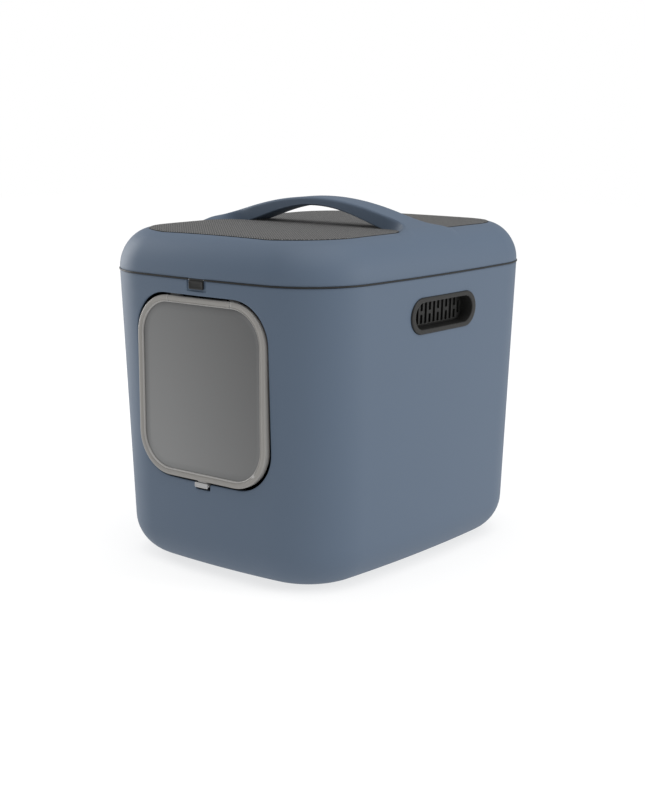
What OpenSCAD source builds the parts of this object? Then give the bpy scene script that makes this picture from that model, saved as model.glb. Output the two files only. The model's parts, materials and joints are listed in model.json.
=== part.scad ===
// Tall cat litter box with a hinged lid, a swinging entry flap and vented side grips.
// X runs across the front, -Y is the front with the flap, +Z is up.
// The origin is on the floor under the middle of the tub. All sizes are in millimetres.

/* [Tub] */
// Width across the sides at the rim
body_w = 400; // [330:1:500]
// Depth from front to back at the rim
body_d = 489; // [405:1:600]
// Height of the tub's rim above the floor
tub_h = 379; // [378:1:470]
// Thickness of the moulded walls
wall = 3; // [2.5:0.1:3.6]
// Radius of the upright corners
corner_r = 95; // [80:1:110]
// Radius of the rounding between walls and floor
floor_r = 50; // [40:1:60]
// How far each side leans in from rim to floor
draft_side = 12.5; // [8:0.5:16]
// How far the front and back lean in from rim to floor
draft_front = 9.9; // [6:0.1:11]
// Bulge of the side walls in the middle
bow_side = 5; // [2:0.5:6]
// Bulge of the front and back walls in the middle
bow_front = 3.5; // [2:0.5:4.2]

/* [Feet] */
// Radius of each anti-slip foot
foot_r = 14; // [11:0.5:17]
// Height that the tub's underside stands above the floor
foot_h = 1; // [0.8:0.1:1.5]
// Depth of the recess that seats a foot
foot_seat = 1.2; // [1:0.1:1.4]

/* [Lid] */
// Height from the lid's lower edge to its flat top
lid_h = 51; // [46:1:62]
// Height of the upright edge below the lid's shoulder
lid_edge = 2.6; // [2:0.1:4]
// How far the rounded shoulder reaches in from the walls
shoulder_in = 38; // [34:1:42]
// Fullness of the shoulder's curve, where 1 is an ellipse
shoulder_pow = 1.075; // [1:0.005:1.2]
// Thickness of the lid's top below the mat
top_t = 3; // [2.5:0.1:4]
// Thickness of the mat in the lid's top
mat_t = 2.4; // [2:0.1:3]
// Corner radius of the mat
mat_r = 78; // [60:1:84]
// Distance of the mat's edge from the side walls
mat_inset = 40; // [37:1:44]

/* [Handle] */
// Width of the handle from front to back
handle_w = 40; // [32:1:50]
// Rise of the handle above the lid's flat top
handle_rise = 36.5; // [30:0.5:44]
// Clear height under the middle of the handle
finger_gap = 25.5; // [22:0.5:26]
// Half of the clear length under the handle
finger_half = 115; // [100:1:125]
// Distance of the handle's ends from the side walls
handle_end = 19; // [16:1:22]

/* [Rim ring] */
// Thickness of the dark ring between tub and lid
ring_t = 2.8; // [2.4:0.1:3.4]
// How far the ring stands proud of the walls
ring_proud = 1; // [0.6:0.1:1.4]
// Depth of the ring's skirt inside the tub
skirt_h = 5; // [4:0.5:6]
// Thickness of the skirt
skirt_t = 1.8; // [1.4:0.1:2.4]

/* [Flap] */
// Width of the flap's frame
flap_w = 215; // [180:1:258]
// Height of the flap's frame
flap_h = 231.2; // [192:1:232]
// Height of the flap's middle above the floor
flap_z = 242.2; // [241:0.1:243]
// Outer corner radius of the flap's frame
flap_r = 53; // [44:1:60]
// Width of the frame's visible band
band = 9; // [8.2:0.1:10]
// Depth of the frame from front to back
flap_t = 9.5; // [9:0.1:10.5]
// Thickness of the window pane
pane_t = 2.5; // [2:0.1:2.6]
// Setback of the flap behind the foremost point of the tub
flap_set = 3; // [2.5:0.1:3.5]
// Gap between the flap and the tub's doorway
flap_gap = 3; // [2.5:0.1:3.5]

/* [Flap hinge] */
// Distance of the seams in the flap's top bar from its middle
cover_half = 52; // [46:1:56]
// Width of each hinge bracket
bracket_w = 20; // [14:1:24]
// Radius of the flap's hinge pins
flap_pin_r = 1.4; // [1.1:0.05:1.6]
// Radius of the eye at the end of each bracket
eye_r = 3; // [2.7:0.05:3.1]

/* [Lid hinge] */
// Distance of each hinge from the middle of the back
hinge_x = 70; // [50:1:76]
// Width of each hinge
hinge_w = 40; // [30:1:44]
// Radius of the hinge knuckles
knuckle_r = 4.4; // [4:0.1:4.6]
// Radius of the hinge pins
pin_r = 1.8; // [1.5:0.05:2.2]
// Distance of the hinge axis behind the back wall
hinge_out = 3.8; // [3.6:0.1:4]

/* [Latch] */
// Width of the thumb latch
latch_w = 26; // [20:1:36]
// Length of the latch below its pin
latch_h = 11.8; // [10:0.2:14]

/* [Side grips] */
// Half the length of the grip's rim
grip_half = 70; // [58:1:84]
// Half the height of the grip's rim
grip_rise = 23; // [20:0.5:26]
// Height of the grips above the floor
grip_z = 332; // [325:1:340]
// Width of the rim around the grip's ends
grip_rim = 6; // [5:0.5:7]
// Depth of the finger pocket
grip_depth = 16; // [14:0.5:22]
// Distance between neighbouring vent slots
slot_pitch = 9; // [8:0.5:11]
// Width of a vent slot
slot_w = 4.6; // [3:0.1:5]

/* [Lock] */
// Width of the lock's thumb tab
lock_w = 21.6; // [18:0.2:26]
// Travel of the lock
lock_travel = 5; // [4:0.5:5]

/* [Hidden] */
$fn = 48;

side_n = 4;        // points on half a wall of the plan outline
corner_n = 9;      // steps round one corner of the plan outline
round_n = 8;       // steps over the tub's bottom rounding
shoulder_n = 9;    // steps over the lid's shoulder
arch_n = 16;       // steps along half of the handle
fit = 0.2;         // clearance between seated pieces
run = 0.05;        // radial clearance of a pin that turns
over = 1;          // how far a cut runs past the face that it starts from
root = 1;          // how far a joined piece runs into the next
press = 0.02;      // radial clearance of a pin that is held fast

tub_z = foot_h;                      // underside of the tub
ring_z = tub_h + fit;                // underside of the rim ring
lid_z = ring_z + ring_t;             // lower edge of the lid
top_z = lid_z + lid_h;               // flat top of the lid
front_y = -body_d / 2;
back_y = body_d / 2;
foot_margin = 20;                    // flat floor between a foot and the bottom rounding
foot_x = body_w / 2 - draft_side - floor_r - foot_r - foot_margin;
foot_y = body_d / 2 - draft_front - floor_r - foot_r - foot_margin;

// ---- plan outline: a rounded rectangle with slightly bulging walls ----
function quarter(a, b, r) =
    let (ax = a - r - bow_side, by = b - r - bow_front,
        f0 = atan2(2 * bow_side, by), f1 = 90 - atan2(2 * bow_front, ax))
    concat(
        [for (i = [0:side_n - 1]) let (t = i / side_n, f = atan2(2 * bow_side * t, by))
            [ax + bow_side * (1 - t * t) + r * cos(f), by * t + r * sin(f)]],
        [for (i = [0:corner_n]) let (f = f0 + (f1 - f0) * i / corner_n)
            [ax + r * cos(f), by + r * sin(f)]],
        [for (i = [side_n - 1:-1:0]) let (t = i / side_n, f = 90 - atan2(2 * bow_front * t, ax))
            [ax * t + r * cos(f), by + bow_front * (1 - t * t) + r * sin(f)]]);
function outline(a, b, r) =
    let (q = quarter(a, b, r), n = len(q))
    concat(q,
        [for (i = [n - 2:-1:0]) [-q[i].x, q[i].y]],
        [for (i = [1:n - 1]) [-q[i].x, -q[i].y]],
        [for (i = [n - 2:-1:1]) [q[i].x, -q[i].y]]);
function ring(a, b, r, z) = [for (p = outline(a, b, r)) [p.x, p.y, z]];

// Half width, half depth and lean of the tub at height z
function lean(z) = (tub_h - min(z, tub_h)) / tub_h;
function half_w(z) = body_w / 2 - draft_side * lean(z);
function half_d(z) = body_d / 2 - draft_front * lean(z);
function tub_ring(z, e) = ring(half_w(z) - e, half_d(z) - e, corner_r - e, z);
// The lid's corners tighten more slowly than its walls come in
function lid_ring(z, e) = ring(body_w / 2 - e, body_d / 2 - e, corner_r - 0.7 * e, z);

// Joins rings of equal length into one closed solid: capped at both ends, or looped
module loft(rings, looped = false) {
    m = len(rings[0]);
    n = len(rings);
    last = looped ? n - 1 : n - 2;
    sides = [for (i = [0:last]) for (j = [0:m - 1])
        let (k = (j + 1) % m, u = (i + 1) % n) [i * m + j, u * m + j, u * m + k, i * m + k]];
    caps = looped ? [] : [[for (j = [0:m - 1]) j], [for (j = [m - 1:-1:0]) (n - 1) * m + j]];
    polyhedron(points = [for (r = rings) each r], faces = concat(sides, caps), convexity = 6);
}

// ---- flat shapes ----
module rounded(w, h, r) {
    square([w - 2 * r, h], center = true);
    square([w, h - 2 * r], center = true);
    for (x = [-1, 1], y = [-1, 1])
        translate([x * (w / 2 - r), y * (h / 2 - r)]) circle(r = r);
}
module stadium(hw, hh) {
    square([2 * (hw - hh), 2 * hh], center = true);
    for (x = [-1, 1]) translate([x * (hw - hh), 0]) circle(r = hh);
}
// A flat shape centred on the flap, filled from y0 back to y1
module door_plate(y0, y1) translate([0, y1, flap_z]) rotate([90, 0, 0])
    linear_extrude(y1 - y0) children();
// A flat shape on a side wall, filled from x0 out to x1
module side_plate(x0, x1) translate([x0, 0, 0]) rotate([90, 0, 90])
    linear_extrude(x1 - x0) children();
// A (y, z) profile filled across from x0 to x1
module across(x0, x1) translate([x0, 0, 0]) rotate([90, 0, 90])
    linear_extrude(x1 - x0) children();
module block(x0, x1, y0, y1, z0, z1) translate([x0, y0, z0]) cube([x1 - x0, y1 - y0, z1 - z0]);
module rod(x0, x1, y, z, r) translate([x0, y, z]) rotate([0, 90, 0]) cylinder(h = x1 - x0, r = r);
module both_ways() {
    children();
    mirror([1, 0, 0]) children();
}
// Frame of a side grip: x = 0 on the wall's outer face, leaning with the wall
module on_side(s) mirror([s > 0 ? 0 : 1, 0, 0])
    translate([half_w(grip_z), 0, grip_z]) rotate([0, atan(draft_side / tub_h), 0]) children();

// ---- tub ----
rim_seat = 1.3;                       // depth of the grip's rim in the wall
grip_wall = 2;                        // thickness of the grip's pocket
pocket_half = grip_half - grip_rim - grip_wall;
pocket_rise = grip_rise - grip_rim;
inner_r = floor_r - wall;
door_half = flap_w / 2 + flap_gap;
flap_y = front_y + flap_set;          // front plane of the flap
axis_in = 5;                          // hinge axis of the flap, behind its front
axis_down = 4.3;                      // and below its top
axis_y = flap_y + axis_in;
axis_z = flap_z + flap_h / 2 - axis_down;
door_top = flap_z + flap_h / 2 + flap_gap;
flap_low = flap_z - flap_h / 2;
notch_h = 8.6;                        // depth of the lock's notch below the doorway
seam_in = 2;                          // distance from a seam to the middle of its bracket
bracket_x = cover_half - seam_in;
screw_r = 1.4;
screw_l = 6;                          // length of a screw below its head
head_r = 3;
head_t = 1.6;
rib_in = bracket_x - bracket_w / 2;   // inner end of each bracket
rib_out = bracket_x + bracket_w / 2;
plate_t = 2.4;                        // thickness of the brackets' screwed plates
neck = 2.6;                           // thickness of the brackets' arms
arm_gap = 1.2;                        // gap between the doorway and the upper arms
arm_z = door_top + arm_gap;
head_gap = 0.4;                       // gap between a screw head and the arm below it
bracket_screw_z = arm_z + neck + head_r + head_gap;
bracket_top = bracket_screw_z + head_r + root;
seat_t = 1;                           // least thickness of the brackets' seats
wall_half = body_w / 2 - corner_r - bow_side;   // half width of the front wall between its corners
seat_y = -half_d(door_top) + wall + bow_front * pow(rib_out / wall_half, 2) + seat_t;
latch_seat = 2;                       // depth of the latch's recess
pad_out = 0.3;                        // the lid hinges' flat seats, outside the back wall
pad_y = back_y + pad_out;
pad_in = 7.5;                         // and inside it
pad_edge = 2;                         // how far a seat runs past its hinge leaf or bracket
hinge_y = back_y + hinge_out;
hinge_z = ring_z + ring_t / 2;
leaf_gap = 5;                         // distance of the hinge leaves from the hinge axis
leaf_h = 20;
leaf_t = 2.2;
hinge_screw_in = 8;                   // hinge screws, in from the ends of a leaf
hinge_screw_up = 9;                   // and above its lower edge
bracket_screw_in = 5;                 // bracket screws, in from the bracket's sides
hole_spare = 0.6;                     // length of a screw hole past its screw
seat_root = 2.2;                      // start of the brackets' seats in the front wall
cut_depth = 30;                       // depth of the doorway's cut
notch_gap = 1.7;                      // gap beside the lock tab
latch_side_gap = 3;                   // gap beside the thumb latch in its recess
latch_under_gap = 2.3;                // and below it
foot_rim = 4;                         // width of the foot's ring that stands on the floor
foot_hollow = 0.5;                    // depth of the hollow inside that ring

module tub_cup() {
    loft(concat(
        [for (i = [0:round_n]) let (f = 90 * i / round_n, z = tub_z + floor_r * (1 - cos(f)))
            tub_ring(z, floor_r * (1 - sin(f)))],
        [tub_ring(tub_h, 0), tub_ring(tub_h, wall)],
        [for (i = [round_n:-1:0])
            let (f = 90 * i / round_n, z = tub_z + wall + inner_r * (1 - cos(f)))
            tub_ring(z, wall + inner_r * (1 - sin(f)))]));
}
module bracket_screw_places() for (x = [-1, 1]) translate([
    bracket_x + x * (bracket_w / 2 - bracket_screw_in), seat_y + plate_t, bracket_screw_z]) children();
module hinge_screw_places(z) for (x = [-1, 1])
    translate([hinge_x + x * (hinge_w / 2 - hinge_screw_in), pad_y + leaf_t, z]) children();
tub_leaf_z = hinge_z - leaf_gap - leaf_h;
lid_leaf_z = hinge_z + leaf_gap;
module hinge_pad(z0, z1) block(hinge_x - hinge_w / 2 - pad_edge,
    hinge_x + hinge_w / 2 + pad_edge,
    back_y - pad_in, pad_y, z0, z1);
module screw_hole(depth, way) rotate([90 * way, 0, 0])
    translate([0, 0, -over]) cylinder(h = depth + over, r = screw_r + run);

module tub_shell() color("#6b7b8f") difference() {
    union() {
        tub_cup();
        both_ways() {
            block(rib_in - pad_edge, rib_out + pad_edge, front_y + seat_root, seat_y,
                door_top, bracket_top + root);
            hinge_pad(tub_leaf_z - pad_edge, ring_z - skirt_h - 2 * fit);
        }
    }
    // doorway, and the notch that the lock drops into
    door_plate(front_y - over, flap_y + cut_depth)
        rounded(flap_w + 2 * flap_gap, flap_h + 2 * flap_gap, flap_r);
    block(-lock_w / 2 - notch_gap, lock_w / 2 + notch_gap, front_y - over, flap_y + cut_depth,
        flap_low - flap_gap - notch_h, flap_z);
    // openings and rim seats of the side grips
    for (s = [-1, 1]) on_side(s) {
        side_plate(-grip_depth, over) stadium(pocket_half + grip_wall + fit,
            pocket_rise + grip_wall + fit);
        side_plate(-rim_seat, 2 * over) stadium(grip_half + fit, grip_rise + fit);
    }
    // thumb latch recess, open at the rim
    block(-latch_w / 2 - latch_side_gap, latch_w / 2 + latch_side_gap, front_y - over,
        front_y + latch_seat, hinge_z - latch_h - latch_under_gap, tub_h + over);
    both_ways() {
        bracket_screw_places() translate([0, -plate_t, 0]) 
            screw_hole(screw_l - plate_t + hole_spare, 1);
        hinge_screw_places(tub_leaf_z + hinge_screw_up) translate([0, -leaf_t, 0])
            screw_hole(screw_l - leaf_t + hole_spare, 1);
    }
    for (x = [-1, 1], y = [-1, 1]) translate([x * foot_x, y * foot_y, tub_z - over])
        cylinder(h = foot_seat + over, r = foot_r + fit);
}
module rubber_feet() color("#2b2b2d") for (x = [-1, 1], y = [-1, 1])
    translate([x * foot_x, y * foot_y, 0]) difference() {
        cylinder(h = tub_z + foot_seat, r = foot_r);
        translate([0, 0, -over]) cylinder(h = over + foot_hollow, r = foot_r - foot_rim);
    }

// ---- side grips with their vent grilles, filters and covers ----
back_t = 2.5;                         // thickness of the grille
filter_t = 8;
cover_t = 2;
filter_gap = 1;                       // room round and behind a filter
cover_x = -grip_depth - back_t - filter_t - filter_gap;
cover_gap = 5;                        // room between the wall and a filter cover
grip_proud = ring_proud + 0.2;        // the grips' rims stand out a little more than the ring
grille_rim = 3;                       // plain edge round the slots
slot_side = 6;                        // slots on each side of the middle one
bridge_half = 2.4;                    // half height of the bridge across every second slot
clip_t = 2;
clip_half = 15;                       // half length of a clip behind the wall
clip_rise = 0.7;
module vent_slots(hw, hh) intersection() {
    stadium(hw, hh);
    for (i = [-slot_side:slot_side]) translate([i * slot_pitch, 0])
        if (i % 2 == 0) square([slot_w, 2 * hh], center = true);
        else for (y = [-1, 1]) translate([0, y * (hh + bridge_half) / 2])
            square([slot_w, hh - bridge_half], center = true);
}
module grip(s) color("#2f3133") on_side(s) {
    side_plate(-rim_seat, grip_proud) difference() {
        stadium(grip_half, grip_rise);
        stadium(pocket_half, pocket_rise);
    }
    side_plate(-grip_depth, -rim_seat) difference() {
        stadium(pocket_half + grip_wall, pocket_rise + grip_wall);
        stadium(pocket_half, pocket_rise);
    }
    side_plate(-grip_depth - back_t, -grip_depth) difference() {
        stadium(pocket_half + grip_wall, pocket_rise + grip_wall);
        vent_slots(pocket_half - grille_rim, pocket_rise - grille_rim);
    }
    // clips that hold the grip behind the wall
    for (z = [-1, 1]) translate([0, 0, z * (pocket_rise + grip_wall)])
        block(-wall - clip_t, -wall - fit, -clip_half, clip_half, -clip_rise, clip_rise);
}
module filter(s) color("#1e1f20") on_side(s)
    side_plate(-grip_depth - back_t - filter_t, -grip_depth - back_t)
        stadium(pocket_half - filter_gap, pocket_rise - filter_gap);
module filter_cover(s) color("#3a3c3f") on_side(s) {
    side_plate(cover_x, -wall - cover_gap) difference() {
        stadium(pocket_half + grip_wall + fit + cover_t, pocket_rise + grip_wall + fit + cover_t);
        stadium(pocket_half + grip_wall + fit, pocket_rise + grip_wall + fit);
    }
    side_plate(cover_x - cover_t, cover_x) difference() {
        stadium(pocket_half + grip_wall + fit + cover_t, pocket_rise + grip_wall + fit + cover_t);
        vent_slots(pocket_half - grille_rim, pocket_rise - grille_rim);
    }
}
module right_grip() grip(1);
module left_grip() grip(-1);
module right_filter() filter(1);
module left_filter() filter(-1);
module right_filter_cover() filter_cover(1);
module left_filter_cover() filter_cover(-1);

// ---- flap: frame, pane, hinge cover and pins ----
skin = flap_t - 6.8;                  // thickness of the frame's front face
rim_t = 4;                            // thickness of the frame's outer wall
thin_skin = 1.4;                      // front face where a bracket turns behind it
pane_back = flap_y + skin + pane_t;
flap_back = flap_y + flap_t;
band_z = flap_z + flap_h / 2 - band;  // lower edge of the top bar
rib_t = 2.5;                          // thickness of the ribs that hold the flap's pins
rib_gap = 0.6;
rib_lift = 0.4;                       // lower end of those ribs above the bar's lower edge
pane_gap = 1.4;                       // the pane stops this far below the brackets' eyes
pin_notch = axis_z - eye_r - pane_gap;
seam = 0.15;                          // gap at each end of the hinge cover
cover_wall = 2.5;                     // top wall of the hinge cover
guide_half = 7.5;                     // half width of the lock's guide
guide_from = 2.4;                     // its front and back, behind the flap's front
guide_to = 5.6;
guide_drop = 1.8;                     // how far it hangs below the frame

module frame_blank() door_plate(flap_y, flap_back) rounded(flap_w, flap_h, flap_r);
module bracket_room() block(rib_in - rib_gap, rib_out + rib_gap,
    flap_y + thin_skin, flap_back + over, band_z - over, door_top + over);
module pin_rib(x0) intersection() {
    frame_blank();
    block(x0, x0 + rib_t, flap_y + thin_skin, flap_back, band_z + rib_lift, door_top);
}
module pin_seat(x0) rod(x0 - over, x0 + rib_t + over, axis_y, axis_z, flap_pin_r + press);
module flap_frame() color("#9c9a92") difference() {
    union() {
        frame_body();
        both_ways() pin_rib(rib_out + rib_gap);
        // guide for the lock, under the bottom bar
        block(-guide_half, guide_half, flap_y + guide_from, flap_y + guide_to,
            flap_low - guide_drop, flap_low + rim_t / 2);
    }
    both_ways() pin_seat(rib_out + rib_gap);
}
module frame_body() difference() {
    frame_blank();
    door_plate(flap_y - over, flap_back + over)
        rounded(flap_w - 2 * band, flap_h - 2 * band, flap_r - band);
    door_plate(flap_y + skin, flap_back + over)
        rounded(flap_w - 2 * rim_t, flap_h - 2 * rim_t, flap_r - rim_t);
    block(-cover_half - seam, cover_half + seam, flap_y - over, flap_back + over,
        band_z - over, door_top + over);
    both_ways() bracket_room();
}
module flap_hinge_cover() color("#a09e96") difference() {
    union() {
        difference() {
            intersection() {
                frame_blank();
                block(-cover_half, cover_half, flap_y - over, flap_back + over, band_z, door_top);
            }
            block(-rib_in + rib_gap, rib_in - rib_gap, flap_y + skin, flap_back + over,
                band_z - over, flap_z + flap_h / 2 - cover_wall);
            both_ways() bracket_room();
        }
        both_ways() pin_rib(rib_in - rib_gap - rib_t);
    }
    both_ways() pin_seat(rib_in - rib_gap - rib_t);
}
module flap_pane() color("#6e6f70") difference() {
    door_plate(flap_y + skin, pane_back)
        rounded(flap_w - 2 * rim_t - fit, flap_h - 2 * rim_t - fit, flap_r - rim_t - fit / 2);
    both_ways() block(rib_in - rib_gap - rib_t - fit, rib_out + rib_gap + rib_t + fit,
        flap_y, flap_back, pin_notch, door_top);
}
module flap_pins() color("silver") both_ways()
    rod(rib_in - rib_gap - rib_t + fit, rib_out + rib_gap + rib_t - fit, axis_y, axis_z, flap_pin_r);

// Brackets hook down behind the top bar, so that the flap can swing both ways
hook_reach = 10;                      // from the hinge axis to the back of the hooks
hook_y = axis_y + hook_reach;
module flap_brackets() color("#8d8b84") both_ways() difference() {
    across(rib_in, rib_out) {
        translate([axis_y, axis_z]) circle(r = eye_r);
        translate([axis_y, axis_z - neck / 2]) square([hook_y - axis_y, neck]);
        translate([hook_y - neck, axis_z - neck / 2]) square([neck, arm_z - axis_z + 1.5 * neck]);
        translate([seat_y, arm_z]) square([hook_y - seat_y, neck]);
        translate([seat_y, arm_z]) square([plate_t, bracket_top - arm_z]);
    }
    rod(rib_in - over, rib_out + over, axis_y, axis_z, flap_pin_r + run);
    bracket_screw_places() screw_hole(plate_t + over, 1);
}
module bracket_screws() color("silver") both_ways() bracket_screw_places() {
    rotate([90, 0, 0]) cylinder(h = screw_l, r = screw_r);
    rotate([-90, 0, 0]) cylinder(h = head_t, r = head_r);
}

// Lock: tab in front, tongue behind the tub's wall, stem and stop behind the frame
tab_lift = 3.2;                       // lower edge of the tab above the notch's floor
tab_gap = 2.1;                        // gap between the tab and the frame above it
tab_set = 0.2;                        // front of the tab behind the flap's front
tab_t = 2;
stem_half = 7;
stem_gap = 0.3;                       // gap between the frame and the stem behind it
stem_t = 2;
web_h = 3;                            // height of the web that joins tab and tongue
stop_gap = 0.4;                       // gap of the stop above the frame's wall when locked
stop_h = 2.5;
pane_clear = 0.6;                     // gap between the pane and the stop
tongue_gap = 0.4;                     // gap between the wall and the tongue when locked
tab_low = flap_low - flap_gap - notch_h + tab_lift;
tab_top = flap_low - tab_gap;
stem_y = flap_back + stem_gap;
stem_back = stem_y + stem_t;
tongue_y = -half_d(tab_low - lock_travel) + wall + tongue_gap;
stop_z = flap_low + rim_t + lock_travel + stop_gap;
module flap_lock() color("#e6e6e4") {
    tab_y = flap_y + tab_set;
    block(-lock_w / 2, lock_w / 2, tab_y, tab_y + tab_t, tab_low, tab_top);
    block(-stem_half, stem_half, tab_y, stem_back, tab_top - web_h, tab_top);
    block(-stem_half, stem_half, tongue_y, stem_back, tab_low, tab_top);
    block(-stem_half, stem_half, stem_y, stem_back, tab_low, stop_z + stop_h);
    block(-stem_half, stem_half, pane_back + pane_clear, stem_back, stop_z, stop_z + stop_h);
}

// ---- lid: shell with its handle, mat, rim ring ----
shoulder_z = lid_z + lid_edge;
shoulder_rise = lid_h - lid_edge;
ceiling_z = top_z - mat_t - top_t;
function bulge(f) = 1 - pow(cos(f), shoulder_pow);
function climb(f) = pow(sin(f), shoulder_pow);
module lid_cup() {
    loft(concat(
        [for (i = [shoulder_n:-1:0]) let (f = 90 * i / shoulder_n)
            lid_ring(shoulder_z + (ceiling_z - shoulder_z) * climb(f),
                wall + (shoulder_in - wall) * bulge(f))],
        [lid_ring(lid_z, wall), lid_ring(lid_z, 0)],
        [for (i = [0:shoulder_n]) let (f = 90 * i / shoulder_n)
            lid_ring(shoulder_z + shoulder_rise * climb(f), shoulder_in * bulge(f))]));
}
arch_pow = 1.3;                       // how softly the handle's arch runs out
arch_run = 3;                         // run of the arch past the handle's ends
arch_end = body_w / 2 - handle_end;
arch_half = arch_end + arch_run;
function arch(x, half, rise) = rise * pow(max(1 - pow(x / half, 2), 0), arch_pow);
function arch_x(i, half) = half * sin(90 * i / arch_n);
module handle() translate([0, handle_w / 2, 0]) rotate([90, 0, 0]) linear_extrude(handle_w)
    polygon(concat(
        [for (i = [-arch_n:arch_n]) let (x = arch_x(i, arch_end))
            [x, top_z + arch(x, arch_half, handle_rise)]],
        [[arch_end, ceiling_z + root], [finger_half, ceiling_z + root]],
        [for (i = [arch_n:-1:-arch_n]) let (x = arch_x(i, finger_half))
            [x, top_z + arch(x, finger_half, finger_gap)]],
        [[-finger_half, ceiling_z + root], [-arch_end, ceiling_z + root]]));
mat_longer = 7;                       // how much nearer the ends the mat runs than the sides
// Flat outline of the mat, cut back in a curve round each foot of the handle
module mat_outline(grow = 0) difference() {
    rounded(body_w - 2 * mat_inset + 2 * grow,
        body_d - 2 * (mat_inset - mat_longer) + 2 * grow, mat_r + grow);
    both_ways() foot_notch(grow);
}
notch_n = 12;                         // steps along a notch
notch_start = finger_half - 3;        // inner end of a notch, just under the handle's root
notch_end = body_w / 2 - mat_inset + 6;
notch_side = 0.5;                     // gap beside the handle where the notch starts
notch_flare = handle_w + 6;           // how much wider each side is at its outer end
function notch_x(t, grow) = notch_start + grow + (notch_end - notch_start) * t;
function notch_y(t, grow) = handle_w / 2 + notch_side - grow + notch_flare * pow(t, 4);
module foot_notch(grow) polygon(concat(
    [for (i = [0:notch_n]) let (t = i / notch_n) [notch_x(t, grow), notch_y(t, grow)]],
    [for (i = [notch_n:-1:0]) let (t = i / notch_n) [notch_x(t, grow), -notch_y(t, grow)]]));
module lid_shell() color("#6b7b8f") difference() {
    union() {
        difference() {
            union() {
                lid_cup();
                both_ways() hinge_pad(shoulder_z + 2 * fit, lid_leaf_z + leaf_h);
            }
            translate([0, 0, top_z - mat_t]) linear_extrude(mat_t + over) mat_outline(fit);
        }
        handle();
    }
    both_ways() hinge_screw_places(lid_leaf_z + hinge_screw_up) translate([0, -leaf_t, 0])
        screw_hole(screw_l - leaf_t + hole_spare, 1);
}
module top_mat() color("#6f6f6f")
    translate([0, 0, top_z - mat_t]) linear_extrude(mat_t) mat_outline();
skirt_in = wall + 0.6;                // outside of the ring's skirt, in from the tub's outline
barrel_gap = 0.4;                     // gap beside the latch's barrel
knuckle_gap = 0.5;                    // gap round and between the hinge knuckles
latch_r = 1.25;
latch_pin_r = 0.6;
latch_pin_out = 2.5;                  // length of the latch's pin past each side of the latch
latch_y = front_y + 0.9;
module rim_ring() color("#2d2e30") difference() {
    loft([for (p = [[-ring_proud, ring_z], [-ring_proud, lid_z], [wall + fit, lid_z],
        [wall + fit, lid_z + lid_edge], [skirt_in + skirt_t, lid_z + lid_edge],
        [skirt_in + skirt_t, ring_z - skirt_h], [skirt_in, ring_z - skirt_h],
        [skirt_in, ring_z]]) lid_ring(p[1], p[0])], looped = true);
    // room for the latch's barrel and its pin, and for the hinge knuckles at the back
    block(-latch_w / 2 - barrel_gap, latch_w / 2 + barrel_gap, front_y - 2 * over,
        latch_y + latch_r + 2 * barrel_gap, ring_z - over, lid_z + over / 2);
    rod(-latch_w / 2 - latch_pin_out - fit, latch_w / 2 + latch_pin_out + fit,
        latch_y, hinge_z, latch_pin_r + press);
    both_ways() rod(hinge_x - hinge_w / 2 - over, hinge_x + hinge_w / 2 + over,
        hinge_y, hinge_z, knuckle_r + knuckle_gap);
}

// ---- thumb latch ----
latch_t = 2.7;
latch_proud = 1.1;                    // how far the latch stands out from the wall
web_t = 1.2;                          // web that joins the plate to its barrel
web_rise = 1.6;
module latch_pin() color("silver")
    rod(-latch_w / 2 - latch_pin_out, latch_w / 2 + latch_pin_out, latch_y, hinge_z, latch_pin_r);
module lid_latch() color("#2f3133") difference() {
    across(-latch_w / 2, latch_w / 2) {
        translate([latch_y, hinge_z]) circle(r = latch_r);
        translate([front_y - latch_proud, hinge_z - latch_h]) square([latch_t, latch_h - root]);
        translate([latch_y - web_t / 2, hinge_z - web_rise]) square([web_t, web_rise]);
    }
    rod(-latch_w / 2 - over, latch_w / 2 + over, latch_y, hinge_z, latch_pin_r + run);
}

// ---- lid hinges on the back wall ----
knuckle_w = hinge_w / 4 - knuckle_gap;
module leaf(z, knuckles) difference() {
    union() {
        block(hinge_x - hinge_w / 2, hinge_x + hinge_w / 2, pad_y, pad_y + leaf_t, z, z + leaf_h);
        for (k = knuckles) {
            rod(k[0], k[1], hinge_y, hinge_z, knuckle_r);
            block(k[0], k[1], pad_y, pad_y + leaf_t, min(z + leaf_h - root, hinge_z),
                max(z + root, hinge_z));
        }
    }
    hinge_screw_places(z + hinge_screw_up) screw_hole(leaf_t + over, 1);
}
outer_knuckles = [[hinge_x - hinge_w / 2, hinge_x - hinge_w / 2 + knuckle_w],
    [hinge_x + hinge_w / 2 - knuckle_w, hinge_x + hinge_w / 2]];
middle_knuckle = [[hinge_x - hinge_w / 4, hinge_x + hinge_w / 4]];
module pin_bore(clearance) rod(hinge_x - hinge_w / 2 - over, hinge_x + hinge_w / 2 + over,
    hinge_y, hinge_z, pin_r + clearance);
module tub_hinges() color("#2f3133") both_ways() difference() {
    leaf(tub_leaf_z, outer_knuckles);
    pin_bore(press);
}
module lid_hinges() color("#2f3133") both_ways() difference() {
    leaf(lid_leaf_z, middle_knuckle);
    pin_bore(run);
}
module lid_hinge_pins() color("silver") both_ways()
    rod(hinge_x - hinge_w / 2 + fit, hinge_x + hinge_w / 2 - fit, hinge_y, hinge_z, pin_r);
module leaf_screws(z) color("silver") both_ways() hinge_screw_places(z + hinge_screw_up) {
    rotate([90, 0, 0]) cylinder(h = screw_l, r = screw_r);
    rotate([-90, 0, 0]) cylinder(h = head_t, r = head_r);
}
module tub_hinge_screws() leaf_screws(tub_leaf_z);
module lid_hinge_screws() leaf_screws(lid_leaf_z);

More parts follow.
